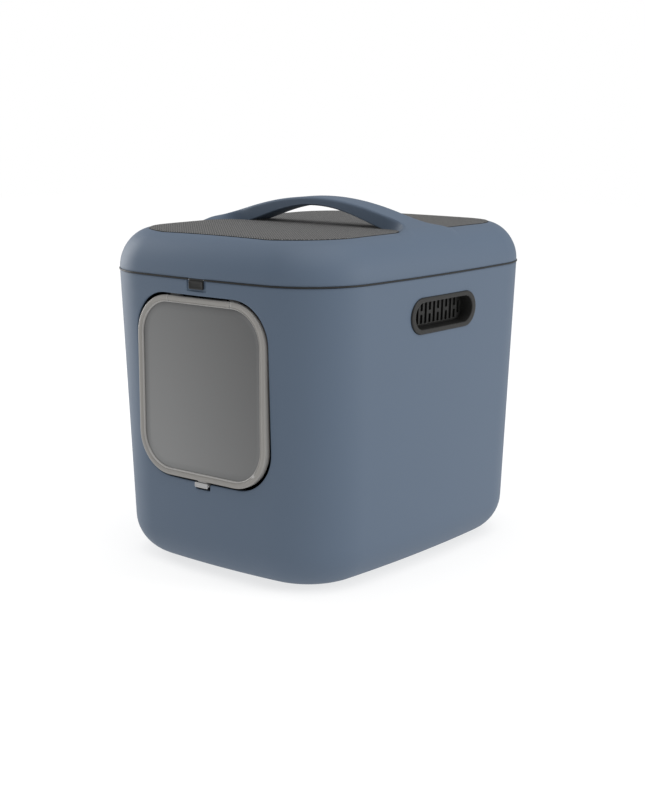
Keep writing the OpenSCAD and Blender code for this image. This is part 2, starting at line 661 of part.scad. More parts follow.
tub_shell();
rubber_feet();
right_grip();
left_grip();
right_filter();
left_filter();
right_filter_cover();
left_filter_cover();
flap_brackets();
bracket_screws();
tub_hinges();
tub_hinge_screws();
lid_hinge_pins();
flap_frame();
flap_pane();
flap_hinge_cover();
flap_pins();
flap_lock();
lid_shell();
top_mat();
rim_ring();
lid_hinges();
lid_hinge_screws();
latch_pin();
lid_latch();
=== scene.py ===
import json
import math

import bmesh
import bpy
import numpy as np
from mathutils import Matrix, Vector


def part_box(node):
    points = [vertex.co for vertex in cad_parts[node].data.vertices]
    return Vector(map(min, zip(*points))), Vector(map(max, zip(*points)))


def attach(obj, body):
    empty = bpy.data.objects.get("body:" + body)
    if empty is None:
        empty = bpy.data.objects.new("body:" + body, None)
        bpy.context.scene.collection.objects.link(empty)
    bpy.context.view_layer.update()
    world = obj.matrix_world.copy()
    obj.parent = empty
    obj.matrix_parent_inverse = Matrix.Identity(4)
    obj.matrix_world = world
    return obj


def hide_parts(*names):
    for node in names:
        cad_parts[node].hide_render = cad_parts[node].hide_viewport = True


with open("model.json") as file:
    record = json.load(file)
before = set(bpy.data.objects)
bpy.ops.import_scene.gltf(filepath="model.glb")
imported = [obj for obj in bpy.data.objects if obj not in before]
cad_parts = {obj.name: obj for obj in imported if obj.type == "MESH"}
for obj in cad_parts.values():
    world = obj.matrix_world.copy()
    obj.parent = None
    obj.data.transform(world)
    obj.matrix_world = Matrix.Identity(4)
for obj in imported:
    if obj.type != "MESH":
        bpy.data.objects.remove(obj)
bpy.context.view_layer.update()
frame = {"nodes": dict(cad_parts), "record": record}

# ---- sizes, in millimetres: the overall ones come from the frame ----
MM = 0.001


def corners(node):
    """Lowest and highest corner of a CAD node, in millimetres."""
    low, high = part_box(node)
    return np.array(low) / MM, np.array(high) / MM


tub_low, tub_high = corners("tub_shell")
lid_low, lid_high = corners("lid_shell")
mat_high = corners("top_mat")[1]
flap_low, flap_high = corners("flap_frame")
lock_low, lock_high = corners("flap_lock")
latch_low, latch_high = corners("lid_latch")
foot_high = corners("rubber_feet")[1]
grip_low, grip_high = corners("right_grip")
hinge_low = corners("tub_hinges")[0]
pin_low, pin_high = corners("lid_hinge_pins")

# the tub and the lid
BODY_W = 2 * tub_high[0]
BODY_D = -2 * tub_low[1]
TUB_H = tub_high[2]
TUB_Z = tub_low[2]
LID_Z = lid_low[2]
TOP_Z = mat_high[2]
WALL = 3.0
CORNER_R = 95.0        # upright corners, in plan
FLOOR_R = 50.0         # rounding between walls and floor
LEAN_SIDE = 12.5       # how far each side leans in from rim to floor
LEAN_FRONT = 9.9
BOW_SIDE = 5.0         # how far each side swells out in its middle, in plan
BOW_FRONT = 3.5
LID_EDGE = 2.6         # upright part of the lid's wall, below its shoulder
SHOULDER_IN = 38.0     # how far in the lid's shoulder reaches
SHOULDER_POW = 1.075   # 1 is a quarter of an ellipse; more is fuller
SHOULDER_Z = LID_Z + LID_EDGE
CEILING_Z = TOP_Z - 5.4

# the ring in the seam
RING_Z = LID_Z - 2.8
LID_OVER = 0.1         # how far the lid's edge closes over the ring
TUB_OVER = 0.9         # how far the tub's rim closes over it
SLIP = 0.02            # room left where the ring meets lid and rim

# the mat and the handle
MAT_R = 78.0
MAT_RISE = 0.9         # how far the mat's edge stands up from the lid
HANDLE_RISE = lid_high[2] - TOP_Z
HANDLE_W = 40.0
FINGER_GAP = 25.5      # room under the middle of the handle
FINGER_HALF = 115.0
ARCH_HALF = BODY_W / 2 - 16
NOTCH_IN = FINGER_HALF - 3

# the flap, its bar and its bed in the doorway
FLAP_W = 2 * flap_high[0]
FLAP_H = 231.2
FLAP_Z = flap_high[2] - FLAP_H / 2
FLAP_R = 53.0
FLAP_Y = flap_low[1]
FLAP_GAP = 3.0
BAND = 9.0             # width of the flap's ring
COVER_HALF = corners("flap_hinge_cover")[1][0]
DOOR_W = FLAP_W + 2 * FLAP_GAP
DOOR_H = FLAP_H + 2 * FLAP_GAP
LATCH_TRIM = 1.2       # the latch's plate is this much narrower on each side

# the grips in the sides
GRIP_HALF = grip_high[1]
GRIP_RISE = 23.0
GRIP_Z = (grip_low[2] + grip_high[2]) / 2
GRIP_DEPTH = 16.0
GRIP_ROOM = 0.25       # clearance round a grip's rim in its seat
GRIP_LIP = (5.8, 3.8)  # what the rim covers: lengthwise and upwards

# the lid's hinges
HINGE_Y = (pin_low[1] + pin_high[1]) / 2
HINGE_Z = (pin_low[2] + pin_high[2]) / 2
HINGE_X = 70.0
HINGE_W = 40.0
KNUCKLE_R = 4.4
LEAF_H = 20.0
LEAF_GAP = 5.0         # between a leaf and the pin's axis
PAD_OUT = 0.3          # how far the hinge seats stand out from the back wall


# ---- meshes ----
class Net:
    """Points in millimetres and the faces between them, gathered into one mesh."""

    def __init__(self):
        self.points = []
        self.faces = []

    def add(self, points):
        """Takes in a row of points and gives back their numbers."""
        start = len(self.points)
        self.points.extend(tuple(float(c) for c in p) for p in points)
        return list(range(start, len(self.points)))

    def band(self, a, b, closed=True):
        """Quads between two rows of equal length."""
        n = len(a)
        for i in range(n if closed else n - 1):
            k = (i + 1) % n
            self.faces.append((a[i], a[k], b[k], b[i]))

    def stack(self, rows, closed=True, caps=True, looped=False):
        """Quads between neighbouring rows, with flat caps on the first and last."""
        for a, b in zip(rows, rows[1:]):
            self.band(a, b, closed)
        if looped:
            self.band(rows[-1], rows[0], closed)
        elif caps:
            self.faces.append(tuple(reversed(rows[0])))
            self.faces.append(tuple(rows[-1]))


def finish_mesh(mesh, crease):
    """Welds, turns all faces outwards, and shades smooth except across sharp edges."""
    bm = bmesh.new()
    bm.from_mesh(mesh)
    bmesh.ops.remove_doubles(bm, verts=bm.verts, dist=2e-6)
    bmesh.ops.dissolve_degenerate(bm, dist=1e-6, edges=bm.edges)
    bmesh.ops.recalc_face_normals(bm, faces=bm.faces)
    for face in bm.faces:
        face.smooth = True
    limit = math.radians(crease)
    for edge in bm.edges:
        edge.smooth = len(edge.link_faces) == 2 and edge.calc_face_angle() < limit
    bm.to_mesh(mesh)
    bm.free()


def piece(net, name, body, slot, replaced=(), crease=38):
    """Makes one piece from a net: it rides on a body and takes its slot's material."""
    mesh = bpy.data.meshes.new(name)
    mesh.from_pydata((np.array(net.points) * MM).tolist(), [], net.faces)
    finish_mesh(mesh, crease)
    made = bpy.data.objects.new(name, mesh)
    bpy.context.scene.collection.objects.link(made)
    mesh.materials.append(material(slot))
    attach(made, body)
    if replaced:
        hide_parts(*replaced)
    return made


def step(x):
    """Runs smoothly from 0 to 1 as x does, and stays there."""
    x = np.clip(x, 0, 1)
    return x * x * (3 - 2 * x)


def soft_max(a, b, k):
    """The larger of two values, rounded off over a width k where they meet."""
    h = np.maximum(k - np.abs(a - b), 0) / k
    return np.maximum(a, b) + h * h * k / 4


def soft_min(a, b, k):
    """The smaller of two values, rounded off over a width k where they meet."""
    return -soft_max(-a, -b, k)


def round_rect(w, h, r, turn=8):
    """Outline of a rounded rectangle, counter-clockwise from the lower right corner."""
    points = []
    for i, (sx, sy) in enumerate([(1, -1), (1, 1), (-1, 1), (-1, -1)]):
        cx, cy = sx * (w / 2 - r), sy * (h / 2 - r)
        for k in range(turn + 1):
            f = math.radians(-90 + 90 * i + 90 * k / turn)
            points.append((cx + r * math.cos(f), cy + r * math.sin(f)))
    return points


def slab(net, w, h, r, skins, place, turn=8):
    """A rounded plate: skins are (inset, depth) pairs from its back to its front."""
    rows = []
    for inset, depth in skins:
        line = round_rect(w - 2 * inset, h - 2 * inset, max(r - inset, 0.05), turn)
        rows.append(net.add([place(u, v, depth) for u, v in line]))
    net.stack(rows)


def whole_turn(sides):
    """Angles of the points round a full circle."""
    return [2 * math.pi * k / sides for k in range(sides)]


def lathe(net, profile, place, sides=32):
    """Turns (radius, along) pairs; place puts (u, v, along) in the frame."""
    rows = []
    for radius, along in profile:
        line = [(radius * math.cos(f), radius * math.sin(f)) for f in whole_turn(sides)]
        rows.append(net.add([place(u, v, along) for u, v in line]))
    net.stack(rows)


def block(net, x0, x1, y0, y1, z0, z1, r=0.6):
    """A block with rounded edges."""
    deep = y1 - y0
    skins = [(r, 0), (0.3 * r, 0.3 * r), (0, r)]
    skins += [(0, deep - r), (0.3 * r, deep - 0.3 * r), (r, deep)]
    slab(net, x1 - x0, z1 - z0, r + 0.2, skins,
         lambda u, v, d: ((x0 + x1) / 2 + u, y0 + d, (z0 + z1) / 2 + v), turn=3)


def both_sides(low, high):
    """The span from low to high on the right, and its mirror on the left."""
    return [(-high, -low), (low, high)]


# ---- plan outline of the tub and lid ----
def quarter(a, b, r, side_t, turns, end_t):
    """A quarter of the plan outline, from the middle of a side to the middle of an end."""
    ax = a - r - BOW_SIDE
    by = b - r - BOW_FRONT
    t = np.asarray(side_t)
    f = np.arctan2(2 * BOW_SIDE * t, by)
    side = np.column_stack([ax + BOW_SIDE * (1 - t * t) + r * np.cos(f), by * t + r * np.sin(f)])
    low = math.atan2(2 * BOW_SIDE, by)
    high = math.pi / 2 - math.atan2(2 * BOW_FRONT, ax)
    g = low + (high - low) * np.asarray(turns)
    corner = np.column_stack([ax + r * np.cos(g), by + r * np.sin(g)])
    t = np.asarray(end_t)[::-1]
    f = math.pi / 2 - np.arctan2(2 * BOW_FRONT * t, ax)
    end = np.column_stack([ax * t + r * np.cos(f), by + BOW_FRONT * (1 - t * t) + r * np.sin(f)])
    return np.vstack([side, corner, end])


def all_round(q):
    """The whole outline from its quarter, counter-clockwise from the right side's middle."""
    return np.vstack([q, q[-2::-1] * (-1, 1), q[1:] * (-1, -1), q[-2:0:-1] * (1, -1)])


def half_w(z):
    """Half the tub's width at a height; above the rim it stays as it is there."""
    return BODY_W / 2 - LEAN_SIDE * (TUB_H - np.minimum(z, TUB_H)) / TUB_H


def half_d(z):
    """Half the tub's depth at a height."""
    return BODY_D / 2 - LEAN_FRONT * (TUB_H - np.minimum(z, TUB_H)) / TUB_H


def wall_reach(u, half, reach, r, bow):
    """How far a wall stands from the middle at a distance u along it: a bow, then the corner."""
    u = np.abs(u)
    t = u / half
    for _ in range(8):
        t = (u - r * np.sin(np.arctan2(2 * bow * t, half))) / half
    bowed = reach + bow * (1 - t * t) + r * np.cos(np.arctan2(2 * bow * t, half))
    corner = reach + np.sqrt(np.maximum(r * r - (u - half) ** 2, 0))
    return np.where(t < 1, bowed, corner)


def front_wall(x, z, inset):
    """How far forward the front wall stands at (x, z), that far in from its outer face."""
    half, reach = half_w(z) - CORNER_R - BOW_SIDE, half_d(z) - CORNER_R - BOW_FRONT
    return wall_reach(x, half, reach, CORNER_R - inset, BOW_FRONT)


def side_wall(y, z, inset):
    """How far out a side wall stands at (y, z), that far in from its outer face."""
    half, reach = half_d(z) - CORNER_R - BOW_FRONT, half_w(z) - CORNER_R - BOW_SIDE
    return wall_reach(y, half, reach, CORNER_R - inset, BOW_SIDE)


# ---- tub ----
DOOR_LOW = 104.0       # a window in the wall's net surrounds each opening:
DOOR_TOP = 364.0       # the doorway's from here to here,
DOOR_X = 128.0         # and this far to each side of the middle,
GRIP_LOW = 300.0       # the grips' from here to the doorway's top,
GRIP_Y = 84.0          # and this far to the front and the back
NOTCH_X = lock_high[0] + 1.7
NOTCH_Z = lock_low[2] - 3.2
RECESS_X = latch_high[0] + 3
RECESS_Z = latch_low[2] - 2.3
RECESS_Y = -BODY_D / 2 + 2
FINE_X = [0, 4, 8, 10.6, 11.8, 12.3, 12.7, 13.3, 14.4, 15.4, 15.9, 16.3, 17, 18.5, 21]
END_X = np.array(FINE_X + list(np.linspace(26, DOOR_X, 22)))
SIDE_Y = np.linspace(0, GRIP_Y, 22)
CORNER_STEPS = 30
FLOOR_STEPS = 14
WALL_POINTS = 90       # points on half a wall's outline, before the columns are picked
TURN_POINTS = 400      # and on a corner's
SOFT = 0.9             # width over which a wall's notch and recess round in
DOOR_FILLET = 1.1
OUTER_SHARES = (0.3, 0.55, 0.76, 0.9)      # rings between a window and its opening, outside
INNER_SHARES = (0.85, 0.6, 0.3)            # and inside
RIM_FILLET = [(0.8, 0.0), (0.3, 0.15), (0.0, 0.8)]      # (down from the rim, in from the wall)


def tub_columns(z, inset, skin):
    """Plan outline at height z, with its columns at set places round the windows."""
    scale = 1 if z >= DOOR_LOW else (half_w(z) - inset) / (half_w(DOOR_LOW) - skin)
    even = np.linspace(0, 1, WALL_POINTS, endpoint=False)
    line = quarter(half_w(z) - inset, half_d(z) - inset, CORNER_R - inset, even,
                   np.linspace(0, 1, TURN_POINTS), even)
    xs = END_X[::-1] * scale
    ys = SIDE_Y * scale
    side = np.column_stack([np.interp(ys, line[:, 1], line[:, 0]), ys])
    end = np.column_stack([xs, np.interp(xs, line[::-1, 0], line[::-1, 1])])
    run = np.concatenate([[0], np.cumsum(np.hypot(*np.diff(line, axis=0).T))])
    start = np.interp(ys[-1], line[:, 1], run)
    stop = np.interp(-xs[0], -line[:, 0], run)
    between = np.linspace(start, stop, CORNER_STEPS)[1:-1]
    corner = np.column_stack([np.interp(between, run, line[:, k]) for k in (0, 1)])
    return all_round(np.vstack([side, corner, end]))


def tub_rows(skin):
    """(height, inset) of each row of one skin of the tub, from the floor to the rim."""
    radius = FLOOR_R - skin
    rows = []
    for f in np.linspace(0, math.pi / 2, FLOOR_STEPS + 1):
        rows.append((TUB_Z + skin + radius * (1 - math.cos(f)), skin + radius * (1 - math.sin(f))))
    heights = list(np.linspace(TUB_Z + FLOOR_R, DOOR_LOW, 7)[1:])
    heights += list(np.linspace(DOOR_LOW, GRIP_LOW, 38)[1:])
    heights += list(np.linspace(GRIP_LOW, DOOR_TOP, 14)[1:])
    heights += [RECESS_Z + up for up in (-0.9, -0.4, 0, 0.5, 2)]
    heights += [371, 374, 376.5]
    rows += [(z, skin) for z in heights]
    inward = 1 if skin == 0 else -1
    rows += [(TUB_H + TUB_OVER - down, skin + inward * to) for down, to in RIM_FILLET]
    return rows


def door_outline(points, w, h, r):
    """The nearest point of a rounded rectangle, centred at the origin, to each point."""
    core = np.clip(points, (-(w / 2 - r), -(h / 2 - r)), (w / 2 - r, h / 2 - r))
    way = points - core
    way /= np.linalg.norm(way, axis=1)[:, None]
    return core + r * way


def window_loop(r0, r1, c0, c1):
    """(row, column) pairs round a window of the net, counter-clockwise."""
    loop = [(r0, c) for c in range(c0, c1)]
    loop += [(r, c1) for r in range(r0, r1)]
    loop += [(r1, c) for c in range(c1, c0, -1)]
    return loop + [(r, c0) for r in range(r1, r0, -1)]


def fill_window(net, skins, loop, columns, flat, edge, surface, stages):
    """Joins the two skins round an opening: rings that run to its edge, over it and back."""
    away = flat - edge[0]
    away /= np.linalg.norm(away, axis=1)[:, None]
    rows = [[skins[0][r][c % columns] for r, c in loop]]
    first, last = stages[0], stages[-1]
    for share in OUTER_SHARES:
        goal = edge[first[0]] + away * first[1]
        rows.append(net.add(surface(flat + (goal - flat) * share, first[2], first[3])))
    for which, out, inset, depth in stages:
        rows.append(net.add(surface(edge[which] + away * out, inset, depth)))
    for share in INNER_SHARES:
        goal = edge[last[0]] + away * last[1]
        rows.append(net.add(surface(flat + (goal - flat) * share, last[2], last[3])))
    rows.append([skins[1][r][c % columns] for r, c in loop])
    for a, b in zip(rows, rows[1:]):
        net.band(a, b)


def tub_skin(net, skin):
    """Rows of points of one skin; the outer one sinks into the latch's recess in front."""
    rows = []
    for z, inset in tub_rows(skin):
        x, y = tub_columns(z, inset, skin).T
        if skin == 0:
            into = step((RECESS_X + 0.3 - np.abs(x)) / 0.8) * step((z - RECESS_Z + 0.7) / SOFT)
            y = np.where(y < RECESS_Y, y + into * (RECESS_Y - y), y)
        rows.append(net.add(np.column_stack([x, y, np.full(len(x), z)])))
    return rows


def tub_windows(columns):
    """(first row, last row, first column, last column) round the doorway and both grips."""
    heights = [z for z, _ in tub_rows(0)]
    low, grip_row, top = (int(np.argmin(np.abs(np.array(heights) - z)))
                          for z in (DOOR_LOW, GRIP_LOW, DOOR_TOP))
    front, left = 3 * columns // 4, columns // 2
    x_n, y_n = len(END_X) - 1, len(SIDE_Y) - 1
    windows = [(low, top, front - x_n, front + x_n)]
    return windows + [(grip_row, top, c - y_n, c + y_n) for c in (0, left)]


def make_tub():
    """The tub: an outer and an inner skin, joined over the rim and round each opening."""
    net = Net()
    skins = [tub_skin(net, 0), tub_skin(net, WALL)]
    columns = len(skins[0][0])
    windows = tub_windows(columns)
    wrap = columns + windows[1][2]
    for rows in skins:
        for r in range(len(rows) - 1):
            for c in range(columns):
                k = c - columns if c >= wrap else c
                if any(w[0] <= r < w[1] and w[2] <= at < w[3] for w in windows for at in (c, k)):
                    continue
                n = (c + 1) % columns
                net.faces.append((rows[r][c], rows[r][n], rows[r + 1][n], rows[r + 1][c]))
    net.band(skins[0][-1], skins[1][-1])
    net.faces.append(tuple(skins[0][0]))
    net.faces.append(tuple(skins[1][0]))

    loop = window_loop(*windows[0])
    flat = np.array([net.points[skins[0][r][c % columns]] for r, c in loop])[:, (0, 2)] - (0, FLAP_Z)
    door = door_outline(flat, DOOR_W, DOOR_H, FLAP_R)
    drop = FLAP_Z - DOOR_H / 2 - NOTCH_Z
    notch = step((NOTCH_X + 0.4 - np.abs(door[:, 0])) / SOFT)
    door[:, 1] -= np.where(door[:, 1] < 0, drop * notch, 0)

    def front_surface(p, inset, depth):
        x, z = p[:, 0], p[:, 1] + FLAP_Z
        return np.column_stack([x, depth - front_wall(x, z, inset), z])

    over = [(0, DOOR_FILLET * (1 - math.sin(f)), 0, DOOR_FILLET * (1 - math.cos(f)))
            for f in np.radians([0, 25, 50, 72, 90])]
    fill_window(net, skins, loop, columns, flat, [door], front_surface,
                over + [(0, 0, WALL, -0.5), (0, 0.15, WALL, -0.15), (0, 0.5, WALL, 0)])

    for window, sign in zip(windows[1:], (1, -1)):
        loop = window_loop(*window)
        flat = np.array([net.points[skins[0][r][c % columns]] for r, c in loop])[:, (1, 2)] - (0, GRIP_Z)
        seat = door_outline(flat, 2 * (GRIP_HALF + GRIP_ROOM), 2 * (GRIP_RISE + GRIP_ROOM),
                            GRIP_RISE + GRIP_ROOM)
        hole = door_outline(flat, 2 * (GRIP_HALF - GRIP_LIP[0]), 2 * (GRIP_RISE - GRIP_LIP[1]),
                            GRIP_RISE - GRIP_LIP[1])

        def side_surface(p, inset, depth, sign=sign):
            y, z = p[:, 0], p[:, 1] + GRIP_Z
            return np.column_stack([sign * (side_wall(y, z, inset) - depth), y, z])

        fill_window(net, skins, loop, columns, flat, [seat, hole], side_surface,
                    [(0, 0.4, 0, 0), (0, 0.1, 0, 0.1), (0, 0, 0, 0.4), (0, 0, 0, 1.3), (1, 0, 0, 1.3),
                     (1, 0, WALL, -0.2), (1, 0.2, WALL, 0)])
    piece(net, "tub", "tub", "blue_plastic", ["tub_shell"], crease=50)


def make_seats():
    """Seats for the flap's brackets inside the tub, and for the lid's hinges behind it."""
    front_in, front_out = WALL + 2.74, 2.3
    back_in, spare = 7.5, 2
    plate_top = corners("flap_brackets")[1][2]
    net, lid_net = Net(), Net()
    for x0, x1 in both_sides(COVER_HALF - 14, COVER_HALF + 10):
        block(net, x0, x1, -BODY_D / 2 + front_out, -BODY_D / 2 + front_in,
              FLAP_Z + DOOR_H / 2 + 0.6, plate_top + 1, 0.5)
    for x0, x1 in both_sides(HINGE_X - HINGE_W / 2 - spare, HINGE_X + HINGE_W / 2 + spare):
        y0, y1 = BODY_D / 2 - back_in, BODY_D / 2 + PAD_OUT
        block(net, x0, x1, y0, y1, hinge_low[2] - spare, RING_Z - 5.4)
        block(lid_net, x0, x1, y0, y1, SHOULDER_Z + 0.4, HINGE_Z + LEAF_GAP + LEAF_H)
    piece(net, "tub_seats", "tub", "blue_plastic")
    piece(lid_net, "lid_seats", "lid", "blue_plastic")


def make_feet():
    """Four ring-shaped rubber feet."""
    radius = 14.0
    profile = [(9.4, 0.5), (9.8, 0.3), (10.2, 0), (13.3, 0), (13.8, 0.25), (radius, 0.8), (radius, 2.1)]
    net = Net()
    for sx in (-1, 1):
        for sy in (-1, 1):
            x, y = sx * (foot_high[0] - radius), sy * (foot_high[1] - radius)
            lathe(net, profile, lambda u, v, d, x=x, y=y: (x + u, y + v, d), sides=40)
    piece(net, "anti_slip_feet", "tub", "foot_rubber", ["rubber_feet"])


# ---- lid ----
# Places of the lid's columns along half a side and half an end, as shares of each: they are
# closest where the handle's feet and the mat's notches turn.
LID_SIDE = np.array([0, 5, 10, 14, 17, 19, 20.5, 22, 24, 26, 28.5, 31.5, 35, 39, 44, 49, 54, 59, 64, 69,
                     75, 82, 90, 99, 109, 120, 131, 142]) / 152.5
LID_TURNS = np.linspace(0, 1, 34)
LID_END = np.array([0, 4, 8, 11, 12.6, 13.2, 13.7, 14.4, 17, 22, 28, 34, 40, 45, 48, 49, 50, 53, 58, 64,
                    70, 76, 82, 87, 90, 91, 92, 95, 99, 103]) / 106.6
CORNER_SHRINK = 0.7    # how fast the corner radius goes down from one inset to the next
CEILING_STEPS = 15
SHOULDER_STEPS = 22
SHOULDER_STOP = 33.0   # where the shoulder's rows end and those that run to the mat begin
MAT_SHARES = (0.12, 0.3, 0.5, 0.68, 0.82, 0.92, 0.985)
BED_LIP = [(0.12, 0.1), (0.3, 0.4), (0.32, 2.0)]       # (in from the mat's outline, down)
BED_IN = 42.0
BED_DOWN = 2.2         # depth of the bed that the mat lies in
FOOT_END = mat_high[0] + 6
FOOT_ROOM = 0.5        # clearance between the mat and the handle's feet
FOOT_SPREAD = HANDLE_W + 6


def lid_plan(inset):
    """Outline of the lid in plan at a distance in from its walls."""
    q = quarter(BODY_W / 2 - inset, BODY_D / 2 - inset, CORNER_R - CORNER_SHRINK * inset,
                LID_SIDE, LID_TURNS, LID_END)
    return all_round(q)


def lid_height(inset):
    """Height of the lid's outer surface at a distance in from its walls."""
    across = np.clip(1 - np.asarray(inset, float) / SHOULDER_IN, 0, 1) ** (1 / SHOULDER_POW)
    rise = np.sqrt(1 - across ** 2) ** SHOULDER_POW
    return SHOULDER_Z + (TOP_Z - SHOULDER_Z) * rise


def foot_half(x):
    """Half width of the handle's foot at a distance x from the middle."""
    t = np.clip((np.abs(x) - NOTCH_IN) / (FOOT_END - NOTCH_IN), 0, 1)
    return HANDLE_W / 2 + FOOT_ROOM + FOOT_SPREAD * t ** 4


def mat_edge(p):
    """Negative inside the mat's outline: a rounded rectangle, cut back round the handle's feet."""
    round_in, round_out = 6, 7
    x, y = np.abs(p[..., 0]), np.abs(p[..., 1])
    qx, qy = x - (mat_high[0] - MAT_R), y - (mat_high[1] - MAT_R)
    plate = np.hypot(np.maximum(qx, 0), np.maximum(qy, 0)) + np.minimum(np.maximum(qx, qy), 0) - MAT_R
    notch = soft_min(x - NOTCH_IN, foot_half(x) - y, round_in)
    return soft_max(plate, notch, round_out)


inset_table = np.linspace(18, 100, 700)
plan_table = np.array([lid_plan(e) for e in inset_table])
edge_table = mat_edge(plan_table)


def mat_line():
    """How far in each column of the lid meets the mat's outline."""
    found = []
    for column in range(plan_table.shape[1]):
        f = edge_table[:, column]
        i = int(np.argmax(f <= 0))
        share = f[i - 1] / (f[i - 1] - f[i])
        found.append(inset_table[i - 1] + share * (inset_table[i] - inset_table[i - 1]))
    return np.array(found)


MAT_LINE = mat_line()


def plan_at(inset):
    """Plan position of every column, each at its own distance in from the walls."""
    inset = np.broadcast_to(inset, MAT_LINE.shape)
    out = np.empty((len(inset), 2))
    for value in np.unique(inset):
        here = inset == value
        out[here] = lid_plan(value)[here]
    return out


def lid_row(net, inset, z):
    """One row of the lid's points; inset and height may differ from column to column."""
    plan = plan_at(inset)
    return net.add(np.column_stack([plan, np.broadcast_to(z, len(plan))]))


def make_lid():
    """The lid, from its ceiling over its edge and shoulder to the bed of the mat, and its handle."""
    net = Net()
    rows = []
    for f in np.linspace(math.pi / 2, 0, CEILING_STEPS + 1):
        rise, reach = math.sin(f) ** SHOULDER_POW, 1 - math.cos(f) ** SHOULDER_POW
        rows.append(lid_row(net, WALL + (SHOULDER_IN - WALL) * reach,
                            SHOULDER_Z + (CEILING_Z - SHOULDER_Z) * rise))
    inner_edge = [(WALL, 0.5), (WALL - 0.15, 0.15), (WALL - 0.5, 0)]
    outer_edge = [(0.5, 0), (0.15, 0.15), (0, 0.5)]
    for inset, up in inner_edge + outer_edge:
        rows.append(lid_row(net, inset, LID_Z - LID_OVER + up))
    rows.append(lid_row(net, 0, SHOULDER_Z))
    stop = np.minimum(SHOULDER_STOP, MAT_LINE - 3)
    last = np.arccos((1 - stop / SHOULDER_IN) ** (1 / SHOULDER_POW))
    for k in range(1, SHOULDER_STEPS + 1):
        f = last * k / SHOULDER_STEPS
        inset = SHOULDER_IN * (1 - np.cos(f) ** SHOULDER_POW)
        rows.append(lid_row(net, inset, lid_height(inset)))
    for share in MAT_SHARES:
        inset = stop + (MAT_LINE - stop) * share
        rows.append(lid_row(net, inset, lid_height(inset)))
    for to, down in BED_LIP:
        rows.append(lid_row(net, MAT_LINE + to, lid_height(MAT_LINE) - down))
    rows.append(lid_row(net, np.maximum(MAT_LINE + 2, BED_IN), TOP_Z - BED_DOWN))
    net.stack(rows)
    make_handle(net)
    piece(net, "lid", "lid", "blue_plastic", ["lid_shell"], crease=50)


def arch(x, half, rise):
    """Height of the handle's curve at a distance x from its middle."""
    return rise * np.maximum(1 - (x / half) ** 2, 0) ** 1.3


def sag(x, y):
    """How much lower the lid's surface is at (x, y) than at (x, 0)."""
    middle, here = (max(float(side_wall(v, TUB_H, 0)) - x, 0.5) for v in (0.0, y))
    return float(lid_height(here) - lid_height(middle))


MELT_X = 150.0         # the handle's top curve starts to melt into the shoulder here
MELT_END = 196.0
MELT_POW = 1.65
BLEND_X = 108.0        # its cross-section turns from a strap into a soft ridge from here
BLEND_RUN = 46.0
FLARE_RUN = 48.0       # its crest flares over this length,
FLARE_OUT = 13.0       # by this much on each side
FLARE_POW = 3.2
SINK = 1.2             # how deep its feet sink into the lid
SINK_X = 118.0         # where they reach the shoulder
STRAP_EDGE = 3.4       # radius of its upper edges
STRAP_SOFT = 1.6       # and of its lower ones


def handle_levels(ax):
    """Heights at a distance ax from the middle: top, lower end of the flank, underside."""
    base = float(lid_height(max(BODY_W / 2 - ax, 0.5)))
    if ax <= MELT_X:
        top = TOP_Z + float(arch(ax, ARCH_HALF, HANDLE_RISE))
    else:
        melt_rise = float(arch(MELT_X, ARCH_HALF, HANDLE_RISE))
        top = base + melt_rise * max(1 - (ax - MELT_X) / (MELT_END - MELT_X), 0) ** MELT_POW
    if ax <= NOTCH_IN:
        under = TOP_Z + float(arch(ax, FINGER_HALF, FINGER_GAP))
        return top, under, under
    under = base - SINK if ax > SINK_X else TOP_Z + (SINK_X - ax) / 12 - SINK
    return top, (base if ax > mat_high[0] else TOP_Z) - 0.5, under


def handle_section(ax):
    """Half of the handle's cross-section, as (across, height) from its top's middle to its underside's."""
    top, low, under = handle_levels(ax)
    foot = ax > NOTCH_IN
    spread = min(max(ax - NOTCH_IN, 0) / FLARE_RUN, 1.1)
    crest = HANDLE_W / 2 + FLARE_OUT * spread ** FLARE_POW
    flank = float(foot_half(ax)) - 0.4 if foot else HANDLE_W / 2
    crest = min(crest, flank - 0.1) if foot else crest
    r = min(STRAP_EDGE, 0.45 * (top - low))
    strap, ridge = [], []
    for f in np.linspace(0, math.pi / 2, 7):
        strap.append((crest - r + r * math.sin(f), top - r + r * math.cos(f)))
    for q in np.linspace(0, 1, 8)[1:]:
        strap.append((crest + (flank - crest) * q, top - r + (low - top + r) * q))
    for q in np.linspace(0, 1, 14):
        ridge.append((crest - r + (flank - crest + r) * q,
                      low + (top - low) * (0.5 + 0.5 * math.cos(math.pi * q))))
    strap, ridge = np.array(strap), np.array(ridge)
    half = strap + (ridge - strap) * step((ax - BLEND_X) / BLEND_RUN)
    half = [(half[0][0] * q, half[0][1]) for q in (0, 0.35, 0.7)] + [tuple(p) for p in half]
    if not foot:
        half[-1] = (half[-1][0], under + STRAP_SOFT)
    end = half[-1][0]
    half += [(end - 0.3 * STRAP_SOFT, under + 0.3 * STRAP_SOFT), (end - STRAP_SOFT, under),
             (0.5 * end, under), (0, under)]
    return [(y, z + sag(ax, y)) for y, z in half] if foot else half


def make_handle(net):
    """The handle: an arched strap whose feet flare out and melt into the lid's shoulder."""
    stations = np.concatenate([np.linspace(0, 100, 26), np.linspace(103, 126, 14),
                               np.linspace(129, 168, 18), np.linspace(171, MELT_END, 10)])
    rows = []
    for x in np.concatenate([-stations[:0:-1], stations]):
        half = handle_section(abs(x))
        right = [(x, y, z) for y, z in half]
        left = [(x, -y, z) for y, z in half[-2:0:-1]]
        rows.append(net.add(right + left))
    net.stack(rows)


